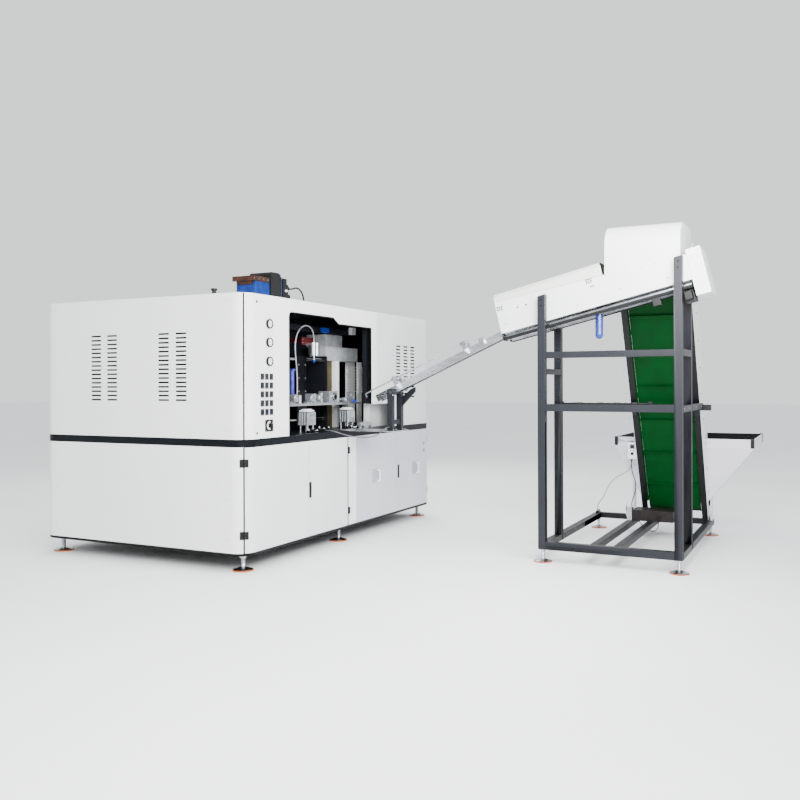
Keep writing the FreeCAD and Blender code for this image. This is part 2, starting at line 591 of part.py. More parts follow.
def in_trough(obj, u, v, w, extra="0"):
    return seat(obj, u, "trough_y + (%s) * %s + (%s) * %s" % (v, cosa, w, sina),
                "trough_z - (%s) * %s + (%s) * %s" % (v, sina, w, cosa), (-1, 0, 0), "trough_tilt + %s" % extra)


def tbox(u0, u1, v0, v1, w0, w1):
    b = doc.addObject("Part::Box", "block")
    for prop, a, c in (("Length", u0, u1), ("Width", v0, v1), ("Height", w0, w1)):
        bind(b, prop, "(%s) - (%s)" % (c, a))
    return in_trough(b, u0, v0, w0)


def troll(u, v, w, rad, long):
    # a round along local Y, running from v toward the cabinet
    c = doc.addObject("Part::Cylinder", "round")
    bind(c, "Radius", rad)
    bind(c, "Height", long)
    return in_trough(c, u, v, w, "90")


def tpad(points, thick, u):
    return in_trough(pad("YZ", points, thick), u, "0", "0")


tx0, tx1 = "trough_x", "trough_x + trough_wide"
wall = [("0", "0"), ("0", "wall_low_end"), ("-trough_long", "wall_high_end"), ("-trough_long", "0")]
piece("trough_near_wall", fuse(tpad(wall, "sheet", tx0), tbox(tx0 + " + 3", tx0 + " + 24", "-trough_long", "0", "0", "3")))
far = [("0", "0"), ("0", "lid_high - 6"), ("-lid_long", "lid_high - 6"), ("-lid_long", "wall_high_end"),
       ("-trough_long", "wall_high_end"), ("-trough_long", "0")]
piece("trough_far_wall", fuse(tpad(far, "sheet", tx1 + " - sheet"), tbox(tx1 + " - 24", tx1 + " - 3", "-trough_long", "0", "0", "3")))
near_roll, far_roll = "roll_mid - roll_gap / 2 - roll_rad", "roll_mid + roll_gap / 2 + roll_rad"


low_plate = group(tbox(tx0, near_roll + " + 26", "-14", "-2", "-60", "0"), tbox(far_roll + " - 26", tx1, "-14", "-2", "-60", "0"))
bore = [troll(r, "-20", "-28", "10.05", "30") for r in (near_roll, far_roll)]
piece("trough_low_bearing", cut(low_plate, group(*bore)))
high_plate = tbox(tx0, tx1, "-trough_long + 2", "-trough_long + 14", "-60", "0")
bore = [troll(r, "-trough_long - 5", "-28", "10.05", "30") for r in (near_roll, far_roll)]
piece("trough_high_bearing", cut(high_plate, group(*bore)))
gear_rad = "roll_gap / 2 + roll_rad - 0.5"
for name, r in (("roller_near", near_roll), ("roller_far", far_roll)):
    piece(name, fuse(troll(r, "-trough_long + 16", "-28", "roll_rad", "trough_long - 32"),
                    troll(r, "-trough_long - 44", "-28", "10", "trough_long + 42"),
                    troll(r, "-trough_long - 40", "-28", gear_rad, "16")))
piece("trough_rail", group(tbox(tx0, tx0 + " + 14", "-trough_long + 14", "-14", "-60", "-36"),
                          tbox(tx1 + " - 14", tx1, "-trough_long + 14", "-14", "-60", "-36")))

# lid: near lip over the wall's sloping edge, bevel and flat top; it swings up on three hinges along the far wall
lid = [(tx0, "212"), (tx0 + " + 3", "212"), (tx0 + " + 3", "296"), (tx0 + " + 38", "lid_high - 3"),
       (tx1 + " - 0.5", "lid_high - 3"), (tx1 + " - 0.5", "lid_high"), (tx0 + " + 37", "lid_high"), (tx0, "297")]
lid_sheet = in_trough(pad("XZ", lid, "lid_long - 4"), "0", "-lid_long + 2", "0")
wall_fall = "(wall_low_end - wall_high_end) / trough_long"
lip_cut = tpad([("10", "150"), ("10", "wall_low_end + 2"), ("-lid_long - 10", "wall_low_end + 2 - (lid_long + 10) * " + wall_fall),
                ("-lid_long - 10", "150")], "30", tx0 + " - 10")
pin_u, pin_w = tx1 + " + 5", "lid_high + 2"
lid_knuckles, wall_knuckles = [], []
for v in ("-130", "-460", "-790"):
    leaf_plate = tbox(tx1 + " - 26", pin_u, v + " + 16", v + " + 46", "lid_high", "lid_high + 3")
    sleeve = fuse(leaf_plate, troll(pin_u, v + " + 16", pin_w, "5", "30"))
    lid_knuckles.append(cut(sleeve, troll(pin_u, v + " + 10", pin_w, "2.55", "42")))
    ends = [tbox(tx1, tx1 + " + 3", v, v + " + 62", "lid_high - 45", "lid_high - 6")]
    for a, b in (("0", "15.5"), ("46.5", "62")):
        ends.append(tbox(tx1, tx1 + " + 3", v + " + " + a, v + " + " + b, "lid_high - 8", "lid_high + 2"))
        ends.append(troll(pin_u, v + " + " + a, pin_w, "5", "15.5"))
    wall_knuckles.append(fuse(troll(pin_u, v, pin_w, "2.5", "62"), *ends))
piece("trough_lid", fuse(cut(lid_sheet, lip_cut), *lid_knuckles))
piece("lid_hinges", group(*wall_knuckles))
piece("lid_curtain", tbox(tx0 + " + 10", tx1 + " - 8", "-lid_long + 2", "-lid_long + 6", "225", "lid_high - 3"))
piece("trough_brackets", group(box("trough_x + trough_wide", "second_x + tube", left0, left1, "1880", "1888"),
                              box("trough_x + trough_wide", "trough_x + trough_wide + 6", left0, left1, "1888", "1985"),
                              box("trough_x + trough_wide", "second_x + tube", right0, right1, "2105", "2113"),
                              box("trough_x + trough_wide", "trough_x + trough_wide + 6", right0, right1, "2113", "2240")))

# gear cover at the high end, roller drive motor and sensor box
cover_out = tbox(tx0 + " - 7", tx1 + " + 90", "-trough_long - 108", "-trough_long", "-128", "226")
cover_in = tbox(tx0 + " - 4", tx1 + " + 87", "-trough_long - 105", "-trough_long + 5", "-125", "223")
piece("gear_cover", fuse(cut(cover_out, cover_in), tbox(tx0, tx1, "-trough_long - 3", "-trough_long", "4", "wall_high_end"),
                        tbox(tx0 + " - 7", tx0, "-trough_long - 3", "-trough_long", "-128", "226"),
                        tbox(tx0, tx1 + " + 90", "-trough_long - 3", "-trough_long", "wall_high_end", "226")))
piece("roller_motor", group(fuse(tbox("1500", "1640", "-trough_long + 16", "-trough_long + 96", "-150", "-60"),
                                tbox("1450", "1500", "-trough_long + 30", "-trough_long + 84", "-138", "-76")),
                           tbox("1560", "1600", "-trough_long", "-trough_long + 16", "-110", "-60")))
piece("sensor_box", tbox(tx0, tx0 + " + 46", "-1275", "-1215", "-122", "-60"))

# ======== hood over the discharge: curved front top, open back, cut to the trough's slope
def hood_form(inset, back_edge):
    i = inset
    return fuse(box("trough_x + 3 + hood_rad", back_edge, "hood_right + " + i, "hood_left - " + i, "2050", "hood_top - " + i),
                box("trough_x + 3 + " + i, "trough_x + 4 + hood_rad", "hood_right + " + i, "hood_left - " + i, "2050", "hood_top - hood_rad"),
                cyl("trough_x + 3 + hood_rad", "hood_right + " + i, "hood_top - hood_rad", "hood_rad - " + i,
                    "hood_left - hood_right - 2 * " + i, "y"))


# ======== elevator: local X into it from the front face, local Z up its lean
cosb, sinb = "cos(lift_tilt * 1 deg)", "sin(lift_tilt * 1 deg)"


def in_lift(obj, u, v, w):
    return seat(obj, "lift_x + (%s) * %s - (%s) * %s" % (u, cosb, w, sinb), v,
                "lift_z + (%s) * %s + (%s) * %s" % (u, sinb, w, cosb), (0, -1, 0), "lift_tilt")


def lbox(u0, u1, v0, v1, w0, w1):
    b = doc.addObject("Part::Box", "block")
    for prop, a, c in (("Length", u0, u1), ("Width", v0, v1), ("Height", w0, w1)):
        bind(b, prop, "(%s) - (%s)" % (c, a))
    return in_lift(b, u0, v0, w0)


def lcyl(u, v, w, rad, long):
    # a round along Y at a spot in the elevator's own frame
    return cyl("lift_x + (%s) * %s - (%s) * %s" % (u, cosb, w, sinb), v,
               "lift_z + (%s) * %s + (%s) * %s" % (u, sinb, w, cosb), rad, long, "y")


hood = cut(hood_form("0", "hood_back"), hood_form("3", "hood_back + 10"))
below = tbox("trough_x - 50", "hood_back + 50", "-2200", "600", "-600", "wall_high_end")
piece("hood", cut(hood, group(below, lbox("-1", "400", "lift_right - 30", "lift_left + 30", "1500", "lift_long + 2"))))

drums = ("drum_low", "drum_high")
mid_u = "40 + drum_rad"
for name, a, b, inner in (("lift_side_left", "lift_left", "lift_left + 3", "lift_left"),
                          ("lift_side_right", "lift_right - 3", "lift_right", "lift_right")):
    side = lbox("0", "lift_deep", a, b, "lift_foot", "lift_long")
    holes = group(*[lcyl(mid_u, a + " - 5", w, "15.05", "12") for w in drums])
    piece(name, cut(side, holes))
piece("lift_channels", group(
    lbox("0", "4", "lift_left - 52", "lift_left", "lift_foot", "lift_long"),
    lbox("4", "30", "lift_left - 4", "lift_left", "lift_foot", "lift_long"),
    lbox("0", "4", "lift_right", "lift_right + 52", "lift_foot", "lift_long"),
    lbox("4", "30", "lift_right", "lift_right + 4", "lift_foot", "lift_long"),
    *[lbox("120", "160", "lift_right", "lift_left", w, w + " + 30") for w in ("620", "1240", "1860")]))
belt_lo, belt_hi = "lift_right + 61", "lift_left - 60"
wide = "lift_left - lift_right - 121"


def stadium(rad, extra):
    y0, y1 = "lift_right + 61 - " + extra, "lift_left - 60 + " + extra
    return fuse(lcyl(mid_u, y0, "drum_low", rad, wide + " + 2 * " + extra), lcyl(mid_u, y0, "drum_high", rad, wide + " + 2 * " + extra),
                lbox("(%s) - (%s)" % (mid_u, rad), "(%s) + (%s)" % (mid_u, rad), y0, y1, "drum_low", "drum_high"))


loop = cut(stadium("drum_rad + 0.3 + belt_thick", "0"), stadium("drum_rad + 0.3", "5"))
cleats = []
face = "drum_rad + 0.2 + belt_thick"
for i in range(7):
    w = "385 + cleat_pitch * %d" % i if i < 6 else "385 + cleat_pitch * 6 - 60"
    cleats.append(lbox("(%s) - (%s) - cleat_high" % (mid_u, face), "(%s) - (%s)" % (mid_u, face), belt_lo, belt_hi, w, w + " + 7"))
    cleats.append(lbox("(%s) + (%s)" % (mid_u, face), "(%s) + (%s) + cleat_high" % (mid_u, face), belt_lo, belt_hi,
                       w + " - 130", w + " - 123"))
piece("belt", fuse(loop, *cleats))
for name, w in (("tail_drum", "drum_low"), ("head_drum", "drum_high")):
    piece(name, fuse(lcyl(mid_u, belt_lo, w, "drum_rad", wide), lcyl(mid_u, "lift_right - 12", w, "15", "lift_left - lift_right + 24")))
piece("drum_bearings", group(*[cut(lbox("(%s) - 38" % mid_u, "(%s) + 38" % mid_u, y, y + " + 11", w + " - 38", w + " + 38"),
                                  lcyl(mid_u, y + " - 2", w, "15.05", "16"))
                              for w in drums for y in ("lift_right - 14", "lift_left + 3")]))
piece("head_cover", fuse(lbox("-30", "lift_deep + 20", "lift_right - 6", "lift_left + 6", "lift_long + 20", "lift_long + 23"),
                        lbox("lift_deep + 17", "lift_deep + 20", "lift_right - 6", "lift_left + 6", "2320", "lift_long + 20"),
                        lbox("lift_deep - 10", "lift_deep + 17", "lift_right - 6", "lift_right - 3", "2320", "lift_long + 20"),
                        lbox("lift_deep - 10", "lift_deep + 17", "lift_left + 3", "lift_left + 6", "2320", "lift_long + 20")))
piece("lift_brackets", group(lbox("-22", "0", "lift_left - 46", "lift_left - 6", "1130", "1240"),
                            lbox("-22", "0", "lift_right + 6", "lift_right + 46", "1130", "1240")))
piece("lift_motor", fuse(box("2850", "3080", "-2610", "-2250", "base_z + 50", "base_z + 148"),
                        cyl("2905", "-2258", "base_z + 99", "49", "16", "y")))
piece("lift_gearbox", fuse(box("2850", "2960", "-2242", "-2200", "base_z + 50", "base_z + 162"), cyl("2905", "-2200", "base_z + 104", "30", "14", "y")))
piece("lift_feet", group(box("3080", "3150", "-2600", "-2400", "base_z + 50", "base_z + 58")))

# ======== hopper behind the elevator: upright rim over four sloping walls
def frustum(inset, low):
    i = "(%s)" % inset
    w = doc.addObject("Part::Wedge", "pyramid")
    bind(w, "Xmin", "3130 + " + i)
    bind(w, "Xmax", "3520 - " + i)
    bind(w, "Zmin", "2287 + " + i)
    bind(w, "Zmax", "2880 - " + i)
    bind(w, "X2min", "hop_near + " + i)
    bind(w, "X2max", "hop_far - " + i)
    bind(w, "Z2min", "-hop_left + " + i)
    bind(w, "Z2max", "-hop_right - " + i)
    bind(w, "Ymin", low)
    bind(w, "Ymax", "hop_top - hop_rim")
    seat(w, 0, 0, 0, (1, 0, 0), 90)
    return fuse(w, box("hop_near + " + i, "hop_far - " + i, "hop_right + " + i, "hop_left - " + i, "hop_top - hop_rim - 1", "hop_top + 0 * " + i))


bin_shell = cut(frustum("0", "hop_low"), group(frustum("4", "hop_low + 4"),
                                              box("hop_near + 4", "hop_far - 4", "hop_right + 4", "hop_left - 4", "hop_top - 20", "hop_top + 20")))
slot = lbox("-400", "lift_deep + 0.5", "lift_right - 3", "lift_left + 3", "0", "2000")
bearing_room = lbox("90", "190", "lift_right - 20", "lift_left + 20", "90", "205")
piece("hopper", cut(bin_shell, group(slot, bearing_room)))
caps = []
for cx, sx in (("hop_near", 1), ("hop_far", -1)):
    for cy, sy in (("hop_left", -1), ("hop_right", 1)):
        xa, xb = (cx + " - 4", cx + " + 26") if sx > 0 else (cx + " - 26", cx + " + 4")
        ya, yb = (cy + " - 26", cy + " + 4") if sy < 0 else (cy + " - 4", cy + " + 26")
        solid = box(xa, xb, ya, yb, "hop_top - 78", "hop_top + 4")
        inner = box("hop_near", "hop_far", "hop_right", "hop_left", "hop_top - 100", "hop_top")
        caps.append(cut(solid, inner))
piece("hopper_corner_caps", group(*caps))
piece("hopper_liner", cut(box("hop_near + 4", "hop_far - 4", "hop_right + 4", "hop_left - 4", "hop_top - 70", "hop_top - 4"),
                         group(box("hop_near + 7", "hop_far - 7", "hop_right + 7", "hop_left - 7", "hop_top - 90", "hop_top + 20"),
                               lbox("-600", "lift_deep + 0.5", "lift_right - 3", "lift_left + 3", "0", "2000"))))
legs = [box(back + " - 135", back + " - 75", "stand_right", "stand_right + 20", "base_z + 50", "650"),
        box(back + " - 60", back, "lift_left + 90", "lift_left + 110", "base_z + 50", "650")]
piece("hopper_legs", group(*[cut(leg, frustum("0", "hop_low")) for leg in legs]))

# ======== control box on the elevator's left side
piece("control_box", box("2860", "2960", "lift_left + 3", "lift_left + 85", "715", "875"))
piece("control_knob", cyl("2846", "lift_left + 42", "765", "13", "13.7", "x"))

# ======== hanging preform between the rollers
pre_y, pre_z = "trough_y - 790 * " + cosa, "trough_z + 790 * " + sina
hang = pre_z + " - 10.4"
piece("preform", fuse(cyl("roll_mid", pre_y, hang + " - 202", "31", "202"), ball("roll_mid", pre_y, hang + " - 202", "31"),
                     cyl("roll_mid", pre_y, hang, "39", "5"), cyl("roll_mid", pre_y, hang + " + 5", "27", "26")))

# ======== chute from the trough to the in-feed
cosc, sinc = "cos(chute_tilt * 1 deg)", "sin(chute_tilt * 1 deg)"


def in_chute(obj, u, v, w, extra="0"):
    return seat(obj, u, "chute_y + (%s) * %s + (%s) * %s" % (v, cosc, w, sinc),
                "chute_z - (%s) * %s + (%s) * %s" % (v, sinc, w, cosc), (-1, 0, 0), "chute_tilt + %s" % extra)


def cbox(u0, u1, v0, v1, w0, w1):
    b = doc.addObject("Part::Box", "block")
    for prop, a, c in (("Length", u0, u1), ("Width", v0, v1), ("Height", w0, w1)):
        bind(b, prop, "(%s) - (%s)" % (c, a))
    return in_chute(b, u0, v0, w0)


def croll(u, v, w, rad, long):
    c = doc.addObject("Part::Cylinder", "round")
    bind(c, "Radius", rad)
    bind(c, "Height", long)
    return in_chute(c, u, v, w, "90")


near_a, near_b = "roll_mid - roll_gap / 2 - rail_wide", "roll_mid - roll_gap / 2"
far_a, far_b = "roll_mid + roll_gap / 2", "roll_mid + roll_gap / 2 + rail_wide"
piece("chute_rails", group(cbox(near_a, near_b, "-chute_long", "0", "0", "rail_high"), cbox(far_a, far_b, "-chute_long", "0", "0", "rail_high")))
piece("chute_under_rails", group(cbox(near_a + " - 6", near_a, "-chute_long - 22", "-60", "0", "16"),
                                 cbox(far_b, far_b + " + 6", "-chute_long - 22", "-60", "0", "16")))
piece("guide_rod", fuse(croll("roll_mid - 60", "-1000", "112", "6", "1080"), cbox("roll_mid - 66", "roll_mid - 54", "74", "84", "76", "112")))
clamps = []
for v in ("-250", "-960"):
    clamps += [cbox("roll_mid - 76", near_a, v, v + " + 24", "18", "96"), cbox("roll_mid - 76", "roll_mid - 44", v + " - 10", v + " + 34", "96", "128"),
               cbox(far_b, "roll_mid + 76", v, v + " + 24", "18", "96"), cbox("roll_mid + 60", "roll_mid + 76", v, v + " + 24", "96", "124"),
               cbox("roll_mid - 92", "roll_mid - 76", v + " + 4", v + " + 20", "40", "56")]
clamps += [cbox("roll_mid - 70", near_a, "-1130", "-1090", "30", "90")]
piece("chute_clamps", group(*[cut(c, croll("roll_mid - 60", "-1100", "112", "6", "1300")) for c in clamps]))
piece("chute_shelf", group(box("1440", "1735", "-505", "70", "deck_top", "deck_top + 8")))
p1, p2 = ("1475", "1525"), ("1650", "1700")
piece("chute_posts", group(box(*p1, "-470", "-420", "deck_top + 8", "1290"), box(*p2, "-470", "-420", "deck_top + 8", "1320"),
                          box("1525", "1650", "-462", "-428", "1060", "1100"),
                          box("1463", "1537", "-482", "-408", "deck_top + 8", "deck_top + 16"), box("1638", "1712", "-482", "-408", "deck_top + 8", "deck_top + 16")))
brace = [("-470", "1215"), ("-470", "1300"), ("-560", "chute_z + (260 * tan(chute_tilt * 1 deg)) - 4"), ("-600", "chute_z + (300 * tan(chute_tilt * 1 deg)) - 6"),
         ("-600", "1345")]
piece("chute_heads", group(box("1475", near_a + " - 6", "-470", "-420", "1290", "1370"), box(far_b + " + 6", "1700", "-470", "-420", "1320", "1370"),
                          pad("YZ", brace, "20", "1665")))
piece("cable_glands", group(
    box("1228", "1252", "60", "90", "deck_top", "deck_top + 22"), cyl("1750", "620", "body_high", "18", "14"),
    cyl("1230", "352", "bar_z + 20", "10", "10")))
piece("post_gland", box("1465", "1475", "-455", "-435", "1028", "1048"))
piece("motor_gland", box("2826", "2850", "-2500", "-2470", "base_z + 76", "base_z + 106"))
piece("stand_glands", group(box("3178", "3202", "stand_left - 44", "stand_left - 20", "base_z + 50", "base_z + 72"),
                            box("1405", "1439", "-2012", "-1985", "1250", "1272"), box("1405", "1439", "-2690", "-2663", "1250", "1272")))
piece("hose_collar", cyl("1510", "352", "1790", "10", "10"))


# ======== cords: straight runs joined by tangent arcs, swept with a round section
def cord(label, points, dia):
    route = [FreeCAD.Vector(num(x), num(y), num(z)) for x, y, z in points]
    edges, start, radii = [], route[0], []
    for i in range(1, len(route) - 1):
        before, after = route[i] - route[i - 1], route[i + 1] - route[i]
        half = before.getAngle(after) / 2
        reach = 0.45 * min(before.Length, after.Length)
        radii.append(reach / math.tan(half))
        one = route[i] - FreeCAD.Vector(before).normalize() * reach
        two = route[i] + FreeCAD.Vector(after).normalize() * reach
        middle = (one + two) * 0.5
        toward = (route[i] - middle).normalize()
        rad = radii[-1]
        bulge = rad - math.sqrt(max(rad * rad - (two - one).Length ** 2 / 4, 0))
        edges += [Part.makeLine(start, one), Part.Arc(one, middle + toward * bulge, two).toShape()]
        start = two
    edges.append(Part.makeLine(start, route[-1]))
    wire = Part.Wire(edges)
    ring = Part.Wire(Part.makeCircle(num(dia) / 2, route[0], route[1] - route[0]))
    solid = wire.makePipeShell([ring], True, False)
    if solid.Volume < 0:
        solid.reverse()
    tube = doc.addObject("Part::Feature", label)
    tube.Shape = solid
    ideal = 3.14159265 * (num(dia) / 2) ** 2 * wire.Length
    print("%s length %.1f mm, least radius %.1f mm, volume over ideal %.4f" % (label, wire.Length, min(radii), solid.Volume / ideal))
    piece(label, tube)


cord("deck_cable", [("1240", "60", "1010"), ("1240", "15", "1010"), ("1262", "-22", "1000"), ("1302", "-60", "980"),
                    ("1345", "-105", "962"), ("1380", "-165", "950"), ("1402", "-230", "946"), ("1408", "-290", "950"),
                    ("1400", "-345", "962"), ("1390", "-390", "986"), ("1394", "-424", "1014"), ("1420", "-445", "1038"),
                    ("1465", "-445", "1038")], "9")
cord("box_cable_white", [("2915", "-2232", "715"), ("2915", "-2232", "655"), ("2924", "-2200", "600"), ("2948", "-2136", "562"),
                         ("2985", "-2068", "526"), ("3020", "-2008", "468"), ("3055", "-1962", "392"), ("3098", "-1925", "318"),
                         ("3144", "-1886", "278"), ("3180", "-1852", "240"), ("3190", "-1842", "206"), ("3190", "-1842", "172")], "8")
cord("box_cable_black", [("2880", "-2235", "715"), ("2880", "-2235", "655"), ("2856", "-2246", "600"), ("2818", "-2272", "552"),
                         ("2792", "-2296", "490"), ("2782", "-2290", "420"), ("2780", "-2262", "352"), ("2780", "-2256", "280"),
                         ("2786", "-2290", "205"), ("2790", "-2335", "135"), ("2792", "-2385", "84"), ("2800", "-2440", "66"),
                         ("2822", "-2478", "84"), ("2838", "-2485", "126"), ("2838", "-2485", "176")], "8")
cord("roof_hose", [("1484", "620", "2300"), ("1545", "620", "2300"), ("1610", "620", "2322"), ("1680", "620", "2318"),
                   ("1735", "620", "2275"), ("1758", "620", "2210"), ("1750", "620", "2160"), ("1750", "620", "2114")], "16")
cord("blow_hose", [("1510", "352", "1800"), ("1510", "352", "1850"), ("1494", "352", "1898"), ("1450", "351", "1932"),
                   ("1392", "350", "1946"), ("1330", "349", "1938"), ("1275", "350", "1908"), ("1233", "352", "1862"),
                   ("1208", "353", "1800"), ("1200", "352", "1730"), ("1206", "350", "1650"), ("1218", "349", "1570"),
                   ("1228", "350", "1490"), ("1234", "352", "1410"), ("1232", "352", "1335"), ("1230", "352", "1295"),
                   ("1230", "352", "1256")], "12")
cord("rail_cable", [("1420", "-2012", "1256.3"), ("1420", "-2090", "1256.3"), ("1424", "-2180", "1256.3"),
                    ("1427", "-2270", "1256.3"), ("1428", "-2360", "1256.3"), ("1427", "-2450", "1256.3"),
                    ("1424", "-2530", "1256.3"), ("1420", "-2600", "1256.3"), ("1420", "-2663", "1256.3")], "12")

# ======== which pieces share a file, mostly because they are bolted together and never part
FILES = {
    "floor_frame": ["floor_tray", "bay_divider"],
    "deck": ["deck", "work_walls", "window_post", "cable_glands"],
    "end_panels": ["end_panel_lower", "end_panel_upper"],
    "far_panels": ["far_panel_lower", "far_panel_upper", "louvre_filters"],
    "back_and_roof": ["back_panel_lower", "back_panel_upper", "roof_panel"],
    "front_panel": ["front_panel_upper"],
    "right_panel": ["right_panel_upper", "infeed_panel"],
    "window_trim": ["window_trim"],
    "door_a": ["door_a"], "door_b": ["door_b", "catch_b"], "door_c": ["door_c", "pull_c"],
    "door_d": ["door_d", "pull_d", "catch_d", "lock_rings"],
    "lock_core_upper": ["lock_core_upper"], "lock_core_lower": ["lock_core_lower"],
    "levelling_feet": ["cabinet_foot_pads", "cabinet_foot_stems", "stand_foot_pads", "stand_foot_stems"],
    "gauges": ["gauge_cases", "gauge_dials"], "front_controls": ["control_modules", "isolator_plate"],
    "isolator_knob": ["isolator_knob"],
    "mandrel_plate": ["mandrel_plate", "mandrel_posts"],
    "mandrel_hubs": ["mandrel_hubs", "transfer_block", "loader_arm", "loader_knob"],
    "transfer_disc": ["transfer_disc"], "air_cylinders": ["left_air_cylinder", "right_air_cylinder"],
    "left_lift_cap": ["left_lift_cap"], "right_lift_cap": ["right_lift_cap"],
    "tie_bars": ["tie_bars"], "mould_left": ["mould_left"], "mould_right": ["mould_right"],
    "head_beam": ["head_beam", "blow_bracket"], "work_fittings": ["side_cylinder", "terminal_box", "deck_valve", "deck_manifold"],
    "blow_cylinder": ["blow_cylinder", "hose_collar"], "blow_nozzle": ["blow_nozzle"],
    "oven": ["oven_ducts", "oven_plate", "oven_bar", "lamp_rack"],
    "roof_drive": ["roof_motor", "roof_motor_lid", "roof_block", "roof_cylinder", "roof_valves", "roof_knob"],
    "stand_frame": ["stand_posts_front", "stand_posts_second", "stand_cross_rails", "stand_side_rails", "stand_base",
                    "trough_brackets", "hopper_legs", "lift_brackets", "lift_feet", "stand_glands"],
    "trough_walls": ["trough_near_wall", "trough_far_wall", "lid_hinges"],
    "trough_bearings": ["trough_low_bearing", "trough_high_bearing", "trough_rail"],
    "roller_near": ["roller_near"], "roller_far": ["roller_far"], "trough_lid": ["trough_lid", "lid_curtain"],
    "gear_cover": ["gear_cover"], "roller_motor": ["roller_motor", "sensor_box"], "hood": ["hood", "head_cover"],
    "lift_sides": ["lift_side_left", "lift_side_right"], "lift_channels": ["lift_channels", "drum_bearings"],
    "belt": ["belt"], "tail_drum": ["tail_drum"], "head_drum": ["head_drum"], "lift_motor": ["lift_motor", "lift_gearbox", "motor_gland"],
    "hopper": ["hopper", "hopper_corner_caps", "hopper_liner"],
    "control_box": ["control_box"], "control_knob": ["control_knob"], "preform": ["preform"],
    "chute_rails": ["chute_rails", "chute_under_rails", "guide_rod", "chute_clamps"],
    "chute_stand": ["chute_shelf", "chute_posts", "chute_heads", "post_gland"],
    "rail_cable": ["rail_cable"], "deck_cable": ["deck_cable"], "roof_hose": ["roof_hose"], "blow_hose": ["blow_hose"],
    "box_cable_white": ["box_cable_white"], "box_cable_black": ["box_cable_black"],
}
FINISHED = []
for label, names in FILES.items():
    whole = doc.addObject("Part::Compound", label)
    whole.Links = [PIECES.pop(name) for name in names]
    whole.Label = label
    seat(whole, "-foot_in_x", "-foot_in_y", 0)
    FINISHED.append(whole)
if PIECES:
    raise RuntimeError("left out: " + ", ".join(PIECES))

doc.recompute()
bad = [o.Label for o in doc.Objects if "Invalid" in o.State or "Error" in o.State]
if bad:
    raise RuntimeError("not computed: " + ", ".join(bad))
os.makedirs("parts", exist_ok=True)
for item in FINISHED:
    shape = item.Shape
    if shape.isNull() or not shape.isValid() or not shape.Solids:
        raise RuntimeError("bad shape: " + item.Label)
    shape.exportStep("parts/%s.step" % item.Label)
print("files:", len(FINISHED))
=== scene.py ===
import json
import math

import bmesh
import bpy
import numpy as np
from mathutils import Matrix, Vector


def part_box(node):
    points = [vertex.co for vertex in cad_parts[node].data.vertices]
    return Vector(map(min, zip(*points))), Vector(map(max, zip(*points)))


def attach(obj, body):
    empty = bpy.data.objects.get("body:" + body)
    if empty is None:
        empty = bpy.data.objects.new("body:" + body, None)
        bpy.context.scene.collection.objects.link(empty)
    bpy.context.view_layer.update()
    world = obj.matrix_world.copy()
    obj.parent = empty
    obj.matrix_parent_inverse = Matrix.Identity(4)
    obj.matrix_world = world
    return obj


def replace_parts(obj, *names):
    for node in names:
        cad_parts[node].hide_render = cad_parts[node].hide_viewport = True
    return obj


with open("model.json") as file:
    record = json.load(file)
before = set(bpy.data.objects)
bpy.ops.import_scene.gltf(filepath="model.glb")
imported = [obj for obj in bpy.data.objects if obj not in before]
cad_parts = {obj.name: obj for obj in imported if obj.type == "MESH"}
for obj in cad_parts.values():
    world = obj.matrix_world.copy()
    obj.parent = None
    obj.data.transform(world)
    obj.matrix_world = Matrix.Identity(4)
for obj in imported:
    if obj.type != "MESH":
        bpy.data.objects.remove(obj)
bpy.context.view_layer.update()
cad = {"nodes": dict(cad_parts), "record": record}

# ---- Where things are
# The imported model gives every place. Sizes below are millimetres from the cabinet's
# front left corner on the floor: X along the front, Y back into it, the feeder at -Y.
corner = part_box("deck")[0]


def at(x, y, z):
    return Vector((corner.x + x / 1000, corner.y + y / 1000, z / 1000))


# ---- Studio floor, light and camera
# A pale matt vinyl floor under broad softboxes, brightest near the cabinet's near corner,
# with the camera standing off that corner at chest height.
def node(tree, kind, sockets=None, **settings):
    # adds one node, sets it up, and gives each socket a value or another node's output
    made = tree.nodes.new(kind)
    for name, value in settings.items():
        setattr(made, name, value)
    for key, value in (sockets or {}).items():
        if isinstance(value, bpy.types.NodeSocket):
            tree.links.new(value, made.inputs[key])
        else:
            made.inputs[key].default_value = value
    return made


def linear(code):
    # an sRGB hex colour as linear RGBA
    parts = [int(code[i:i + 2], 16) / 255 for i in (1, 3, 5)]
    return tuple(c / 12.92 if c <= 0.04045 else ((c + 0.055) / 1.055) ** 2.4 for c in parts) + (1.0,)


def blank(name):
    # an empty material with its place on the object and its shader
    made = bpy.data.materials.new(name)
    made.use_nodes = True
    made.node_tree.nodes.clear()
    place = node(made.node_tree, "ShaderNodeTexCoord").outputs["Object"]
    shader = node(made.node_tree, "ShaderNodeBsdfPrincipled")
    node(made.node_tree, "ShaderNodeOutputMaterial", {"Surface": shader.outputs[0]})
    return made, made.node_tree, place, shader


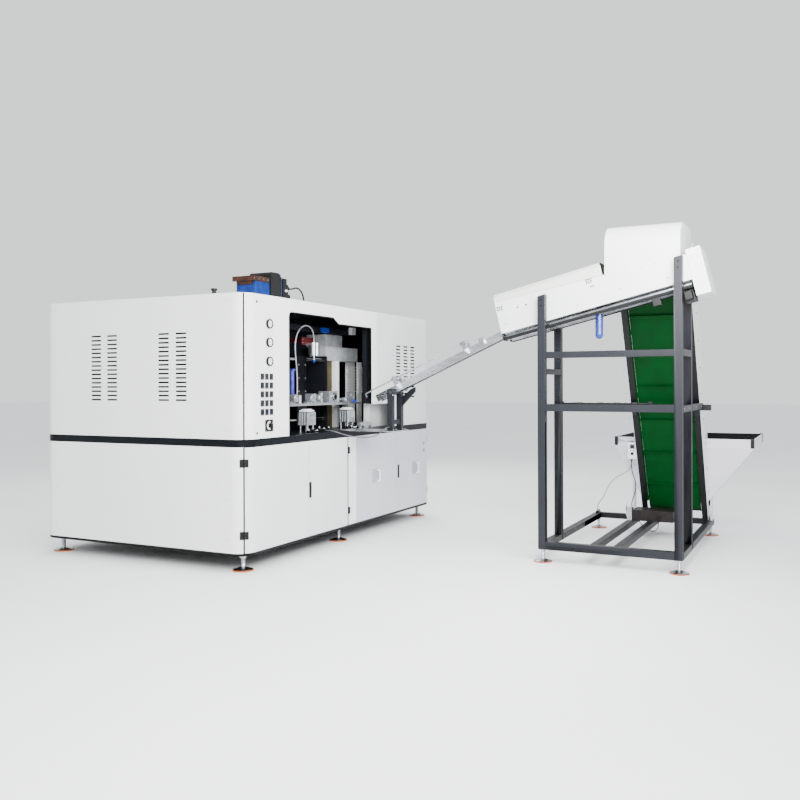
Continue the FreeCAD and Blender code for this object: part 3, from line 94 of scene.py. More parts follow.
def finish(name, colour, other, rough=0.4, spread=0.06, metal=0.0, patch=400, grain=8, lift=0.1,
           stretch=(1, 1, 1), clear=0.0, blend=0.5, gleam=0.5):
    # a made surface: two close tones in patches, a grain for gloss and bump; patch, grain and lift in mm
    made, tree, place, shader = blank(name)
    place = node(tree, "ShaderNodeMapping", {"Vector": place, "Scale": stretch}).outputs[0]
    broad = node(tree, "ShaderNodeTexNoise", {"Vector": place, "Scale": 1000 / patch, "Detail": 3.0})
    fine = node(tree, "ShaderNodeTexNoise", {"Vector": place, "Scale": 1000 / grain, "Detail": 2.0})
    share = node(tree, "ShaderNodeMapRange", {0: broad.outputs[0], 1: 0.3, 2: 0.7, 3: 0.0, 4: 2 * blend})
    tone = node(tree, "ShaderNodeMix", {0: share.outputs[0], 6: linear(colour), 7: linear(other)}, data_type="RGBA")
    gloss = node(tree, "ShaderNodeMapRange",
                 {0: fine.outputs[0], 1: 0.3, 2: 0.7, 3: rough - spread, 4: rough + spread})
    skin = node(tree, "ShaderNodeBump", {"Strength": 0.5, "Distance": lift / 1000, "Height": fine.outputs[0]})
    for socket, value in (("Base Color", tone.outputs[2]), ("Roughness", gloss.outputs[0]),
                          ("Normal", skin.outputs[0])):
        tree.links.new(value, shader.inputs[socket])
    shader.inputs["Metallic"].default_value = metal
    shader.inputs["Coat Weight"].default_value = clear
    shader.inputs["Specular IOR Level"].default_value = gleam
    return made


def shape(name, mesh_or_bm, coats, body):
    # links a finished mesh at the origin, riding on its body
    if isinstance(mesh_or_bm, bmesh.types.BMesh):
        mesh = bpy.data.meshes.new(name)
        mesh_or_bm.to_mesh(mesh)
        mesh_or_bm.free()
    else:
        mesh = mesh_or_bm
    made = bpy.data.objects.new(name, mesh)
    bpy.context.scene.collection.objects.link(made)
    if not mesh.materials:
        for coat in coats:
            mesh.materials.append(coat)
    if body:
        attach(made, body)
    return made


# matt vinyl: pale, almost even, with a very low sheen
vinyl = finish("matt_vinyl_floor", "#f6f7f7", "#f1f2f3", rough=0.7, spread=0.05, patch=1500, grain=20, lift=0.05)
bm = bmesh.new()
bmesh.ops.create_grid(bm, x_segments=1, y_segments=1, size=60)
floor = shape("floor", bm, [vinyl], None)

sky = bpy.data.worlds.new("studio")
sky.use_nodes = True
sky.node_tree.nodes["Background"].inputs[0].default_value = linear("#f8fafc")
sky.node_tree.nodes["Background"].inputs[1].default_value = 1.35
bpy.context.scene.world = sky

for name, spot, aim, wide, power in (
        ("key_softbox", (-3600, -2600, 3300), (300, 500, 1100), 3.0, 420),
        ("window_softbox", (300, -3000, 2600), (1400, 500, 1400), 1.6, 130),
        ("feeder_softbox", (-2200, -5200, 3600), (2000, -2400, 1500), 2.8, 270),
        ("top_softbox", (1600, -900, 6200), (1600, -700, 0), 4.0, 160),
        ("back_softbox", (6500, 3500, 4500), (2000, 0, 1000), 3.5, 300)):
    lamp = bpy.data.objects.new(name, bpy.data.lights.new(name, "AREA"))
    lamp.data.size = wide
    lamp.data.energy = power
    lamp.location = at(*spot)
    lamp.rotation_euler = (at(*aim) - at(*spot)).to_track_quat("-Z", "Y").to_euler()
    bpy.context.scene.collection.objects.link(lamp)

eye = bpy.data.objects.new("camera", bpy.data.cameras.new("camera"))
eye.location = at(-5204.2, -3902.4, 1399.3)
eye.rotation_euler = (math.radians(90), math.radians(0.18), math.radians(-63.638))
eye.data.sensor_width = 36
eye.data.lens = 38.82
eye.data.shift_x = -0.00584
eye.data.shift_y = -0.01805
bpy.context.scene.collection.objects.link(eye)
bpy.context.scene.camera = eye

# ---- Cords
# Flexible control leads and air hoses: extruded PVC and rubber jackets, pushed into glands
# at both ends and left to hang in their own curve.
pvc_black = finish("extruded_pvc_black", "#060607", "#0c0d0e", rough=0.45, patch=60, grain=3, lift=0.05, gleam=0.3)
pvc_white = finish("extruded_pvc_white", "#8a8b89", "#7c7d7b", rough=0.42, patch=80, grain=3, lift=0.05)
rubber_hose = finish("rubber_hose_black", "#050506", "#090a0b", rough=0.55, patch=50, grain=4, lift=0.15, gleam=0.3)
# braided hose under clear PVC reads silver grey
braid_hose = finish("braided_hose_silver", "#8d9298", "#c2c6ca", rough=0.35, metal=0.35, patch=14, grain=4,
                    lift=0.3)
pvc_grey = finish("extruded_pvc_grey", "#5a5d61", "#3f4246", rough=0.45, patch=60, grain=3, lift=0.05)
cord_routes = (
    ("deck_cable", pvc_grey, "cable_black", 9, 0.6446, "limp",
     ((1240, 60, 1010), (1240, 15, 1010), (1262, -22, 1000), (1302, -60, 980), (1345, -105, 962), (1380, -165, 950),
      (1402, -230, 946), (1408, -290, 950), (1400, -345, 962), (1390, -390, 986), (1394, -424, 1014),
      (1420, -445, 1038), (1465, -445, 1038))),
    ("box_cable_white", pvc_white, "cable_white", 8, 0.7672, "medium",
     ((2915, -2232, 715), (2915, -2232, 655), (2924, -2200, 600), (2948, -2136, 562), (2985, -2068, 526),
      (3020, -2008, 468), (3055, -1962, 392), (3098, -1925, 318), (3144, -1886, 278), (3180, -1852, 240),
      (3190, -1842, 206), (3190, -1842, 172))),
    ("box_cable_black", pvc_black, "cable_black", 8, 0.9019, "medium",
     ((2880, -2235, 715), (2880, -2235, 655), (2856, -2246, 600), (2818, -2272, 552), (2792, -2296, 490),
      (2782, -2290, 420), (2780, -2262, 352), (2780, -2256, 280), (2786, -2290, 205), (2790, -2335, 135),
      (2792, -2385, 84), (2800, -2440, 66), (2822, -2478, 84), (2838, -2485, 126), (2838, -2485, 176))),
    ("roof_hose", rubber_hose, "hose_black", 16, 0.4292, "stiff",
     ((1484, 620, 2300), (1545, 620, 2300), (1610, 620, 2322), (1680, 620, 2318), (1735, 620, 2275),
      (1758, 620, 2210), (1750, 620, 2160), (1750, 620, 2114))),
    ("blow_hose", braid_hose, "hose_black", 12, 1.0113, "stiff",
     ((1510, 352, 1800), (1510, 352, 1850), (1494, 352, 1898), (1450, 351, 1932), (1392, 350, 1946),
      (1330, 349, 1938), (1275, 350, 1908), (1233, 352, 1862), (1208, 353, 1800), (1200, 352, 1730),
      (1206, 350, 1650), (1218, 349, 1570), (1228, 350, 1490), (1234, 352, 1410), (1232, 352, 1335),
      (1230, 352, 1295), (1230, 352, 1256))))
for name, coat, slot, thick, length, stiffness, route in cord_routes:
    line = bpy.data.curves.new(name + "_lead", "CURVE")
    line.dimensions = "3D"
    run = line.splines.new("NURBS")
    run.points.add(len(route) - 1)
    for point, spot in zip(run.points, route):
        point.co = (*at(*spot), 1)
    run.order_u = 3
    run.use_endpoint_u = True
    line.resolution_u = 10
    line.bevel_depth = thick / 2000
    line.bevel_resolution = 3
    line.use_fill_caps = True
    line.materials.append(coat)
    lead = bpy.data.objects.new(name + "_lead", line)
    bpy.context.scene.collection.objects.link(lead)
    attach(lead, "machine_frame")
    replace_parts(lead, name)

# ---- Cabinet shell
# Folded 3 mm steel panels, powder coated warm white, over a navy waist band and a black floor
# rail. Each sheet has small rolled edges, and its cut ends are painted with it.
powder_white = finish("powder_coat_white", "#eceeeb", "#e6e8e6", rough=0.36, patch=900, grain=14, lift=0.04)
door_white = finish("powder_coat_door_white", "#dcdfdd", "#d3d6d6", rough=0.34, patch=700, grain=14, lift=0.04)
bay_white = finish("powder_coat_bay_grey", "#c6c7cd", "#bcbec5", rough=0.34, patch=500, grain=14, lift=0.04)
navy_band = finish("enamel_navy_band", "#05080b", "#0a0e13", rough=0.32, patch=500, grain=10, lift=0.04, gleam=0.12)
floor_black = finish("enamel_black_rail", "#040506", "#07080a", rough=0.4, patch=300, grain=10, lift=0.05,
                     gleam=0.15)
cave_dark = finish("painted_steel_dark", "#090b11", "#0e1118", rough=0.6, patch=300, grain=12, lift=0.05, gleam=0.2)
zinc = finish("zinc_plated_steel", "#b9bdc0", "#8f9498", rough=0.3, metal=1.0, patch=30, grain=5, lift=0.05)
hinge_black = finish("black_oxide_steel", "#060708", "#0b0c0d", rough=0.42, metal=0.2, patch=40, grain=4, lift=0.05,
                     gleam=0.3)
black_seal = finish("extruded_rubber_black", "#030404", "#060607", rough=0.6, patch=60, grain=4, lift=0.1,
                    gleam=0.15)
# pleated filter cloth behind the louvres is grey; its black copy, near the front and behind the far end's louvres,
# is painted shade on the same cloth
filter_grey = finish("filter_cloth_grey", "#2d2f32", "#141517", rough=0.9, patch=24, grain=5, lift=0.6, gleam=0.1)
filter_painted_shade = finish("filter_cloth_painted_shade", "#030304", "#070809", rough=0.9, patch=24, grain=5, lift=0.6, gleam=0.1)
bodies = cad["record"]["behaviour"]["bodies"]


def refine(part, coats, edge=1.2, angle=32, flat=0.5):
    # a clean copy of a part with eased edges; coats is one material, or a list of (material, boxes
    # in mm) in which the first material covers what no box holds
    if not isinstance(coats, list):
        coats = [(coats, [])]
    bm = bmesh.new()
    bm.from_mesh(cad["nodes"][part].data)
    bmesh.ops.remove_doubles(bm, verts=bm.verts, dist=0.00002)
    bmesh.ops.dissolve_limit(bm, angle_limit=math.radians(flat), verts=bm.verts, edges=bm.edges)
    low = corner * 1000
    for face in bm.faces:
        face.material_index = 0
        middle = face.calc_center_median() * 1000
        x, y, z = middle.x - low.x, middle.y - low.y, middle.z
        for index, (coat, boxes) in enumerate(coats):
            for a, b, c, d, e, f in boxes:
                if a <= x <= b and c <= y <= d and e <= z <= f:
                    face.material_index = index
    body = next(b for b, parts in bodies.items() if part in parts)
    made = shape(part + "_finished", bm, [c for c, boxes in coats], None)
    if edge:
        ease = made.modifiers.new("eased_edges", "BEVEL")
        ease.width = edge / 1000
        ease.segments = 2
        ease.limit_method = "ANGLE"
        ease.angle_limit = math.radians(angle)
        ease.use_clamp_overlap = True
        made.data.shade_smooth()
        level = made.modifiers.new("flat_faces", "WEIGHTED_NORMAL")
        level.keep_sharp = True
        bpy.context.view_layer.update()
        eased = bpy.data.meshes.new_from_object(made.evaluated_get(bpy.context.evaluated_depsgraph_get()))
        made.modifiers.clear()
        made.data = eased
    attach(made, body)
    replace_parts(made, part)
    return made


hinge_heights = (250, 790)
knuckles = [(18, 47, 18, 47, z - 2, z + 62) for z in hinge_heights]
far_knuckles = [(3253, 3282, 18, 47, z - 2, z + 62) for z in hinge_heights]
refine("end_panels", [(powder_white, []), (hinge_black, knuckles)])
# the black filter patches are painted shade; the grey patch is the cloth's own tone
refine("far_panels", [(powder_white, []), (hinge_black, far_knuckles),
                                     (filter_painted_shade, [(2, 16, 450, 1000, 1200, 1900),
                                                    (3284, 3298, 500, 1700, 1269, 1831)]),
                                     (filter_grey, [(2, 16, 1150, 1750, 1200, 1900)])])
refine("front_panel", powder_white)
refine("right_panel", door_white)
refine("back_and_roof", powder_white)
refine("deck", [(navy_band, []), (cave_dark, [(515, 2605, 2, 725, 999, 2100)])])
refine("floor_frame", floor_black)
refine("window_trim", black_seal, edge=0)

# ---- Corner seals and panel screws
# Black rubber strips close the upright joints at the near corner and between the bays. The
# sheets are held by small pan head screws with hexagon sockets, all turned steel.
def prism(bm, low, high, ease=0.0, coat=0, turn=None):
    # a block between two corners in mm, its edges eased, optionally turned about its middle
    low, high = at(*low), at(*high)
    made = bmesh.ops.create_cube(bm, size=1.0)["verts"]
    size = high - low
    bmesh.ops.scale(bm, vec=size, verts=made)
    if turn:
        bmesh.ops.rotate(bm, cent=(0, 0, 0), matrix=Matrix.Rotation(math.radians(turn[0]), 3, turn[1]), verts=made)
    bmesh.ops.translate(bm, vec=(low + high) / 2, verts=made)
    faces = {f for v in made for f in v.link_faces}
    for face in faces:
        face.material_index = coat
    if ease:
        edges = {e for f in faces for e in f.edges}
        bmesh.ops.bevel(bm, geom=list(edges), offset=ease / 1000, segments=2, affect="EDGES", profile=0.5)


def turned(bm, start, along, outline, sides=32, coat=0):
    # a lathe turned form: outline holds (distance along, radius) in mm from a start point in mm
    axis = Vector(along).normalized()
    side = axis.orthogonal().normalized()
    up = axis.cross(side)
    origin, rings = at(*start), []
    for far, radius in outline:
        ring = []
        for i in range(sides):
            spin = 2 * math.pi * i / sides
            out = side * math.cos(spin) + up * math.sin(spin)
            ring.append(bm.verts.new(origin + axis * far / 1000 + out * radius / 1000))
        rings.append(ring)
    for one, two in zip(rings, rings[1:]):
        for i in range(sides):
            face = bm.faces.new((one[i], one[(i + 1) % sides], two[(i + 1) % sides], two[i]))
            face.material_index = coat
            face.smooth = True
    for ring, flip in ((rings[0], True), (rings[-1], False)):
        face = bm.faces.new(list(reversed(ring)) if flip else ring)
        face.material_index = coat


bm = bmesh.new()
for low, high in ((146, 938), (999, 2096)):
    prism(bm, (32, 35, low), (43, 40, high), 0.8, 0, (-45, "Z"))
for low, high in ((148, 248), (312, 788), (852, 938)):
    prism(bm, (1514, 1, low), (1522, 5, high), 0.8)
shape("corner_seals", bm, [black_seal], "machine_frame")


def recipe(name, output, inputs):
    # a Geometry Nodes tree with named inputs, and the sockets that bring them in
    tree = bpy.data.node_groups.new(name, "GeometryNodeTree")
    for label, kind in inputs:
        tree.interface.new_socket(label, in_out="INPUT", socket_type="NodeSocket" + kind)
    tree.interface.new_socket(output, in_out="OUTPUT", socket_type="NodeSocketGeometry")
    return tree, node(tree, "NodeGroupInput").outputs


# one row of screws: a turned pan head with a socket, repeated along a line and faced outwards
screws, given = recipe("screw_row", "Screws", (
    ("Start", "Vector"), ("Step", "Vector"), ("Count", "Int"), ("Facing", "Vector"),
    ("Head Radius", "Float"), ("Head Height", "Float"), ("Head", "Material"), ("Socket", "Material")))
line = node(screws, "GeometryNodeMeshLine",
            {"Count": given["Count"], "Start Location": given["Start"], "Offset": given["Step"]})
head = node(screws, "GeometryNodeMeshCone",
            {"Vertices": 14, "Radius Bottom": given["Head Radius"], "Depth": given["Head Height"]})
top = node(screws, "ShaderNodeMath", {0: given["Head Radius"], 1: 0.72}, operation="MULTIPLY")
screws.links.new(top.outputs[0], head.inputs["Radius Top"])
key = node(screws, "ShaderNodeMath", {0: given["Head Radius"], 1: 0.42}, operation="MULTIPLY")
hexagon = node(screws, "GeometryNodeMeshCylinder", {"Vertices": 6, "Radius": key.outputs[0], "Depth": 0.0006})
lift = node(screws, "ShaderNodeCombineXYZ", {"Z": given["Head Height"]})
raised = node(screws, "GeometryNodeTransform", {"Geometry": hexagon.outputs[0], "Translation": lift.outputs[0]})
capped = node(screws, "GeometryNodeSetMaterial", {"Geometry": head.outputs[0], "Material": given["Head"]})
keyed = node(screws, "GeometryNodeSetMaterial", {"Geometry": raised.outputs[0], "Material": given["Socket"]})
whole = node(screws, "GeometryNodeJoinGeometry")
for part in (capped, keyed):
    screws.links.new(part.outputs[0], whole.inputs[0])
aim = node(screws, "FunctionNodeAlignRotationToVector", {"Vector": given["Facing"]}, axis="Z")
spread = node(screws, "GeometryNodeInstanceOnPoints",
              {"Points": line.outputs[0], "Instance": whole.outputs[0], "Rotation": aim.outputs[0]})
solid = node(screws, "GeometryNodeRealizeInstances", {"Geometry": spread.outputs[0]})
node(screws, "NodeGroupOutput", {0: solid.outputs[0]})


def grow(tree, rows, name, coats, body):
    # runs a tree once for each row of inputs and joins the plain meshes into one piece
    whole = bmesh.new()
    for values in rows:
        seed = bpy.data.objects.new("seed", bpy.data.meshes.new("seed"))
        bpy.context.scene.collection.objects.link(seed)
        work = seed.modifiers.new("work", "NODES")
        work.node_group = tree
        for item in tree.interface.items_tree:
            if item.in_out == "INPUT" and item.name in values:
                work[item.identifier] = values[item.name]
        bpy.context.view_layer.update()
        plain = bpy.data.meshes.new_from_object(seed.evaluated_get(bpy.context.evaluated_depsgraph_get()))
        order = [coats.index(m) if m in coats else 0 for m in plain.materials]
        picks = np.zeros(len(plain.polygons), np.int32)
        plain.polygons.foreach_get("material_index", picks)
        if order:
            places = np.array([order[min(i, len(order) - 1)] for i in picks], np.int32)
            plain.polygons.foreach_set("material_index", places)
        whole.from_mesh(plain)
        bpy.data.objects.remove(seed)
        bpy.data.meshes.remove(plain)
    return shape(name, whole, coats, body)


def row(start, step, count, facing, radius=6, height=2.2, head=zinc, socket=black_seal):
    return {"Start": at(*start), "Step": Vector(step) / 1000, "Count": count, "Facing": Vector(facing),
            "Head Radius": radius / 1000, "Head Height": height / 1000, "Head": head, "Socket": socket}


deep = (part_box("deck")[1].y - corner.y) * 1000
panel_rows = [
    row((0.2, 605, 1216), (0, 175, 0), 2, (-1, 0, 0), 4, 0.2),
              row((0.2, 1320, 1216), (0, 173, 0), 2, (-1, 0, 0), 4, 0.2),
    row((152, 0.2, 1040), (0, 0, 1000), 2, (0, -1, 0), 11, 3, hinge_black),
    row((2040, 0.2, 2042), (30, 0, 0), 1, (0, -1, 0), 6), row((1240, 0.2, 2058), (400, 0, 0), 1, (0, -1, 0), 4),
    row((2110, 0.2, 1290), (0, 0, 760), 2, (0, -1, 0), 5), row((3150, 0.2, 1040), (0, 0, 1010), 2, (0, -1, 0), 5),
    row((180, 120, 2099.8), (588, 0, 0), 6, (0, 0, 1)), row((180, deep - 110, 2099.8), (588, 0, 0), 6, (0, 0, 1))]
# the end sheets' two upright rows, low and high, and the back's four level ones; flush where the
# sheet is the outermost face
for y in (168, deep - 158):
    for z, step in ((250, 300), (1060, 490)):
        panel_rows += [row((0.2, y, z), (0, 0, step), 3, (-1, 0, 0), 6, 0.2),
                       row((3299.8, y, z), (0, 0, step), 3, (1, 0, 0))]
panel_rows += [row((300, deep - 0.2, z), (540, 0, 0), 6, (0, 1, 0), 6, 0.2) for z in (190, 890, 1060, 2050)]
grow(screws, panel_rows, "panel_screws", [zinc, black_seal, hinge_black], "machine_frame")

# ---- Service doors
# Four folded steel doors in two bays on black pin hinges. Doors b and d have recessed black
# slot catches, c and d a bright bow pull on a thin plate, and d two quarter turn locks.
chrome = finish("polished_chrome", "#dfe3e6", "#c3c8cc", rough=0.14, metal=1.0, patch=30, grain=6, lift=0.02)
satin = finish("satin_stainless", "#c7cbce", "#a9aeb2", rough=0.28, metal=1.0, patch=18, grain=3, lift=0.04,
               stretch=(1, 1, 0.1))
# this grey is the real tone of the control box's display bezel, and on the pull plates of doors c and d it is
# painted shadow of the bow pulls
grey_plate_and_painted_shadow = finish("powder_coat_plate_grey_and_painted_shadow", "#a9abb2", "#9b9da5", rough=0.36, patch=200, grain=10, lift=0.04)
enamel_white = finish("enamel_white_bar", "#eff0ef", "#e4e6e6", rough=0.3, patch=60, grain=5, lift=0.04)
plastic_black = finish("moulded_abs_black", "#050506", "#090a0c", rough=0.4, patch=40, grain=2, lift=0.05,
                       gleam=0.3)
leaf = knuckles + far_knuckles + [(1495, 1541, -16, -1, z - 2, z + 62) for z in hinge_heights]
refine("door_a", [(door_white, []), (hinge_black, leaf)])
refine("door_b",
       [(door_white, []), (hinge_black, leaf), (plastic_black, [(879, 907, -4, 0.5, 466, 598)])])
# the pull plates on doors c and d are toned darker than the door: painted shadow of the white bow pulls
refine("door_c",
       [(bay_white, []), (hinge_black, leaf), (grey_plate_and_painted_shadow, [(1975, 2097, -3.5, -0.2, 478, 608)]),
        (enamel_white, [(1975, 2097, -40, -3.6, 478, 608)])])
refine("door_d",
       [(bay_white, []), (hinge_black, leaf), (grey_plate_and_painted_shadow, [(2831, 2953, -3.5, -0.2, 478, 608)]),
        (enamel_white, [(2831, 2953, -40, -3.6, 478, 608)]),
                                (plastic_black, [(2509, 2537, -4, 0.5, 476, 608)]),
        (zinc, [(3100, 3140, -9, 1, 690, 810)])])
for part in ("lock_core_upper", "lock_core_lower"):
    refine(part, chrome, edge=0.6)

# a dark recess and a raised thumb lip inside each slot catch
for body, x, z in (("door_b", 893, 467), ("door_d", 2523, 477)):
    bm = bmesh.new()
    prism(bm, (x - 5.5, -0.9, z + 15), (x + 5.5, -0.3, z + 115), 0.2)
    prism(bm, (x - 5, -3.4, z + 20), (x - 2, -0.9, z + 110), 0.6)
    prism(bm, (x - 19, -1.2, z - 4), (x - 13.2, -0.1, z + 134), 0.4)
    prism(bm, (x + 13.2, -1.2, z - 4), (x + 19, -0.1, z + 134), 0.4)
    shape(body + "_catch_recess", bm, [black_seal], body)
# a thin brighter sheet on door c along its hinge side is a painted highlight, standing in for light caught by a
# rounded door edge
bm = bmesh.new()
prism(bm, (1528, -0.9, 150), (1664, -0.1, 935), 0.4)
shape("door_c_painted_highlight_strip", bm, [powder_white], "door_c")
for body, x in (("door_c", 1976), ("door_d", 2832)):
    rows = [row((x + side, -3, 493), (0, 0, 100), 2, (0, -1, 0), 5, 1.8) for side in (14, 60)]
    grow(screws, rows, body + "_pull_screws", [zinc, black_seal], body)

# ---- Gauges, temperature modules and mains switch
# Steel cased pressure gauges, then five rows of three black ABS controllers with grey
# windows, and a black rotary mains switch in a rounded frame with a white field.
dial_white = finish("printed_dial_white", "#f3f4f2", "#eceeec", rough=0.5, patch=30, grain=4, lift=0.01)
ink = finish("dial_ink_black", "#060606", "#0b0b0b", rough=0.6, patch=10, grain=2, lift=0.01, gleam=0.2)
window_grey = finish("tinted_display_grey", "#2c3034", "#1e2225", rough=0.2, patch=12, grain=2, lift=0.01,
                     gleam=0.3)
window_blue = finish("tinted_display_blue", "#10163a", "#0a0e28", rough=0.2, patch=12, grain=2, lift=0.01,
                     gleam=0.3)
refine("gauges", [(hinge_black, []), (dial_white, [(270, 340, -15.2, -14.1, 1500, 1950)])],
       edge=0.8)
refine("front_controls", plastic_black, edge=1.5)
refine("isolator_knob", plastic_black, edge=2.5)

ticks, given = recipe("dial_ticks", "Ticks", (
    ("Centre", "Vector"), ("Radius", "Float"), ("Count", "Int"), ("Tick Length", "Float"),
    ("Tick Width", "Float"), ("Ink", "Material")))
arc = node(ticks, "GeometryNodeCurveArc", {"Resolution": given["Count"], "Radius": given["Radius"],
                                           "Start Angle": math.radians(-45), "Sweep Angle": math.radians(270)})
size = node(ticks, "ShaderNodeCombineXYZ", {"X": given["Tick Width"], "Y": given["Tick Length"], "Z": 0.0004})
mark = node(ticks, "GeometryNodeMeshCube", {"Size": size.outputs[0]})
points = node(ticks, "GeometryNodeCurveToPoints", {"Curve": arc.outputs[0], "Count": given["Count"]}, mode="COUNT")
marks = node(ticks, "GeometryNodeInstanceOnPoints",
             {"Points": points.outputs[0], "Instance": mark.outputs[0], "Rotation": points.outputs["Rotation"]})
stood = node(ticks, "GeometryNodeTransform",
             {"Geometry": marks.outputs[0], "Rotation": (math.radians(90), 0, 0), "Translation": given["Centre"]})
solid = node(ticks, "GeometryNodeRealizeInstances", {"Geometry": stood.outputs[0]})
inked = node(ticks, "GeometryNodeSetMaterial", {"Geometry": solid.outputs[0], "Material": given["Ink"]})
node(ticks, "NodeGroupOutput", {0: inked.outputs[0]})
gauge_heights = (1590, 1737, 1880)
rows = [{"Centre": at(305, -15, z), "Radius": 0.0225, "Count": 28, "Tick Length": 0.004, "Tick Width": 0.0011,
         "Ink": ink}
        for z in gauge_heights]
grow(ticks, rows, "gauge_ticks", [ink], "machine_frame")
bm = bmesh.new()
for z, lean in zip(gauge_heights, (40, -30, 15)):
    turned(bm, (305, -14, z), (0, -1, 0), ((0, 37), (4, 37), (6, 35), (6, 30.5), (3, 27.5), (0.3, 27)), 48, 0)
    prism(bm, (304, -15.9, z - 8), (306, -15.3, z + 21), 0.2, 1, (lean, "Y"))
    turned(bm, (305, -15, z), (0, -1, 0), ((0, 4.5), (1.6, 4.5), (2.2, 3.4)), 18, 1)
shape("gauge_bezels", bm, [hinge_black, ink], "machine_frame")
bm = bmesh.new()
for x in (217, 275, 335):
    for i in range(5):
        z = 1471 - 68 * i
        prism(bm, (x - 11, -7.9, z - 10), (x + 11, -6.9, z + 14), 0.5, 1 if i == 4 else 0)
        prism(bm, (x - 11, -7.8, z - 20), (x - 5, -6.9, z - 16), 0.3, 2)
        prism(bm, (x + 4, -7.8, z - 20), (x + 11, -6.9, z - 16), 0.3, 2)
shape("module_windows", bm, [window_grey, window_blue, zinc], "machine_frame")
bm = bmesh.new()
turned(bm, (303, -8, 1094), (0, -1, 0), ((0, 34), (1.0, 34), (1.4, 33.4), (1.4, 18.6), (0, 18.4)), 40, 0)
for i in range(8):
    spin = math.radians(45 * i)
    prism(bm, (302 + 27 * math.sin(spin), -9.9, 1091 + 27 * math.cos(spin)),
          (304 + 27 * math.sin(spin), -9.2, 1097 + 27 * math.cos(spin)), 0, 1, (45 * i, "Y"))
shape("isolator_field", bm, [dial_white, ink], "machine_frame")
bm = bmesh.new()
prism(bm, (302, -34.6, 1108), (304, -33.6, 1121), 0.3)
shape("isolator_mark", bm, [dial_white], "isolator_knob")
rows = [row((261, -8, z), (84, 0, 0), 2, (0, -1, 0), 3.5, 1.5) for z in (1056, 1132)]
grow(screws, rows, "isolator_screws", [zinc, black_seal], "machine_frame")

# ---- Work space
# Milled aluminium and ground steel tooling behind the window: mandrel plate and hubs, finned
# air cylinders, the mould halves on tie bars, the blow cylinder, the oven ducts and lamps.
aluminium = finish("milled_aluminium", "#d5d8db", "#b4b8bc", rough=0.32, metal=1.0, patch=26, grain=4, lift=0.08,
                   stretch=(0.2, 1, 1))
cast_silver = finish("sand_cast_aluminium", "#c9ccd0", "#9fa4a9", rough=0.45, metal=0.9, patch=20, grain=4,
                     lift=0.4)
tool_steel = finish("ground_tool_steel", "#2a2c30", "#1b1d21", rough=0.35, metal=1.0, patch=40, grain=5, lift=0.05)
bright_bar = finish("hard_chrome_bar", "#d8dcdf", "#bfc4c8", rough=0.12, metal=1.0, patch=50, grain=6, lift=0.02)
duct_grey = finish("galvanised_duct_grey", "#b6babd", "#989ca0", rough=0.4, metal=0.0, patch=60, grain=10,
                   lift=0.15)
brass_plate = finish("anodised_gold_plate", "#4e4208", "#352c05", rough=0.38, metal=0.3, patch=90, grain=5,
                     lift=0.05)
enamel_red = finish("enamel_red_bracket", "#4a060a", "#360508", rough=0.4, patch=60, grain=6, lift=0.05, gleam=0.3)
lavender = finish("anodised_lavender", "#4a4ca4", "#2d3086", rough=0.3, metal=0.2, patch=50, grain=5, lift=0.05)
cap_blue = finish("moulded_nylon_blue", "#1238a8", "#0c2a88", rough=0.35, patch=40, grain=3, lift=0.05)
refine("mandrel_plate", aluminium)
refine("mandrel_hubs", [(cast_silver, []), (cap_blue, [(1935, 1970, 165, 198, 1236, 1272)])],
       edge=1.6)
refine("transfer_disc", bright_bar, edge=1.6)
refine("air_cylinders", aluminium, edge=1.6)
refine("left_lift_cap", enamel_white, edge=1.6)
refine("right_lift_cap", enamel_white, edge=1.6)
refine("tie_bars",
       [(bright_bar, []), (cave_dark, [(679, 701, 399, 671, 998, 1681), (1799, 1821, 399, 671, 998, 1681)])])
refine("mould_left", tool_steel, edge=2.5)
refine("mould_right", tool_steel, edge=2.5)
refine("head_beam", [(cave_dark, []), (enamel_red, [(1339, 1561, 371, 721, 1769, 1841)]),
                                    (cap_blue, [(1699, 1801, 350, 399.5, 1890, 1950)])], edge=1.6)
refine("blow_cylinder", aluminium, edge=1.6)
refine("blow_nozzle", [(bright_bar, []), (cap_blue, [(1480, 1540, 320, 380, 1600, 1641)])], edge=0.8)
refine("work_fittings", [(cast_silver, []), (lavender, [(1060, 1120, 280, 345, 1240, 1560)]),
                                      (enamel_white, [(2220, 2310, 350, 410, 1900, 1980)])], edge=1.6)
refine("oven", [(duct_grey, []), (brass_plate, [(1875, 2053, 451.5, 459, 998, 1641)]),
                             (enamel_white, [(1989, 2041, 399, 451, 998, 1641),
                                             (2379, 2561, 423, 531, 998, 1641)])], edge=1.2)

# bolts on the tooling, fins and cap screws
tool_rows = [
    row((925, 290, 1246), (160, 0, 0), 8, (0, 0, 1), 7, 5),
             row((905, 195.2, 1236), (240, 0, 0), 6, (0, -1, 0), 5, 2.5),
    *(row((x, 148.8, z), (28, 0, 0), 4, (0, -1, 0), 4, 2) for z in (1075, 1152) for x in (1120, 1810)),
    *(row((x, 333.8, 1694), (0, 0, 80), 2, (0, -1, 0), 4, 2) for x in (1460, 1560)),
    row((1360, 371.8, 1790), (0, 0, 30), 2, (0, -1, 0), 6, 3),
             row((1575, 214.8, 1262), (0, 0, 74), 2, (0, -1, 0), 5, 2.5),
    row((1685, 214.8, 1262), (0, 0, 74), 2, (0, -1, 0), 5, 2.5)]
grow(screws, tool_rows, "tooling_screws", [zinc, black_seal], "machine_frame")
for body, x0, side in (("mould_left", 1050, 1), ("mould_right", 1320, -1)):
    rows = [row((x0 + 22, 404.8, 1110 + 120 * i), (106, 0, 0), 2, (0, -1, 0), 8, 4) for i in range(5)]
    grow(screws, rows, body + "_screws", [zinc, black_seal], body)
bm = bmesh.new()
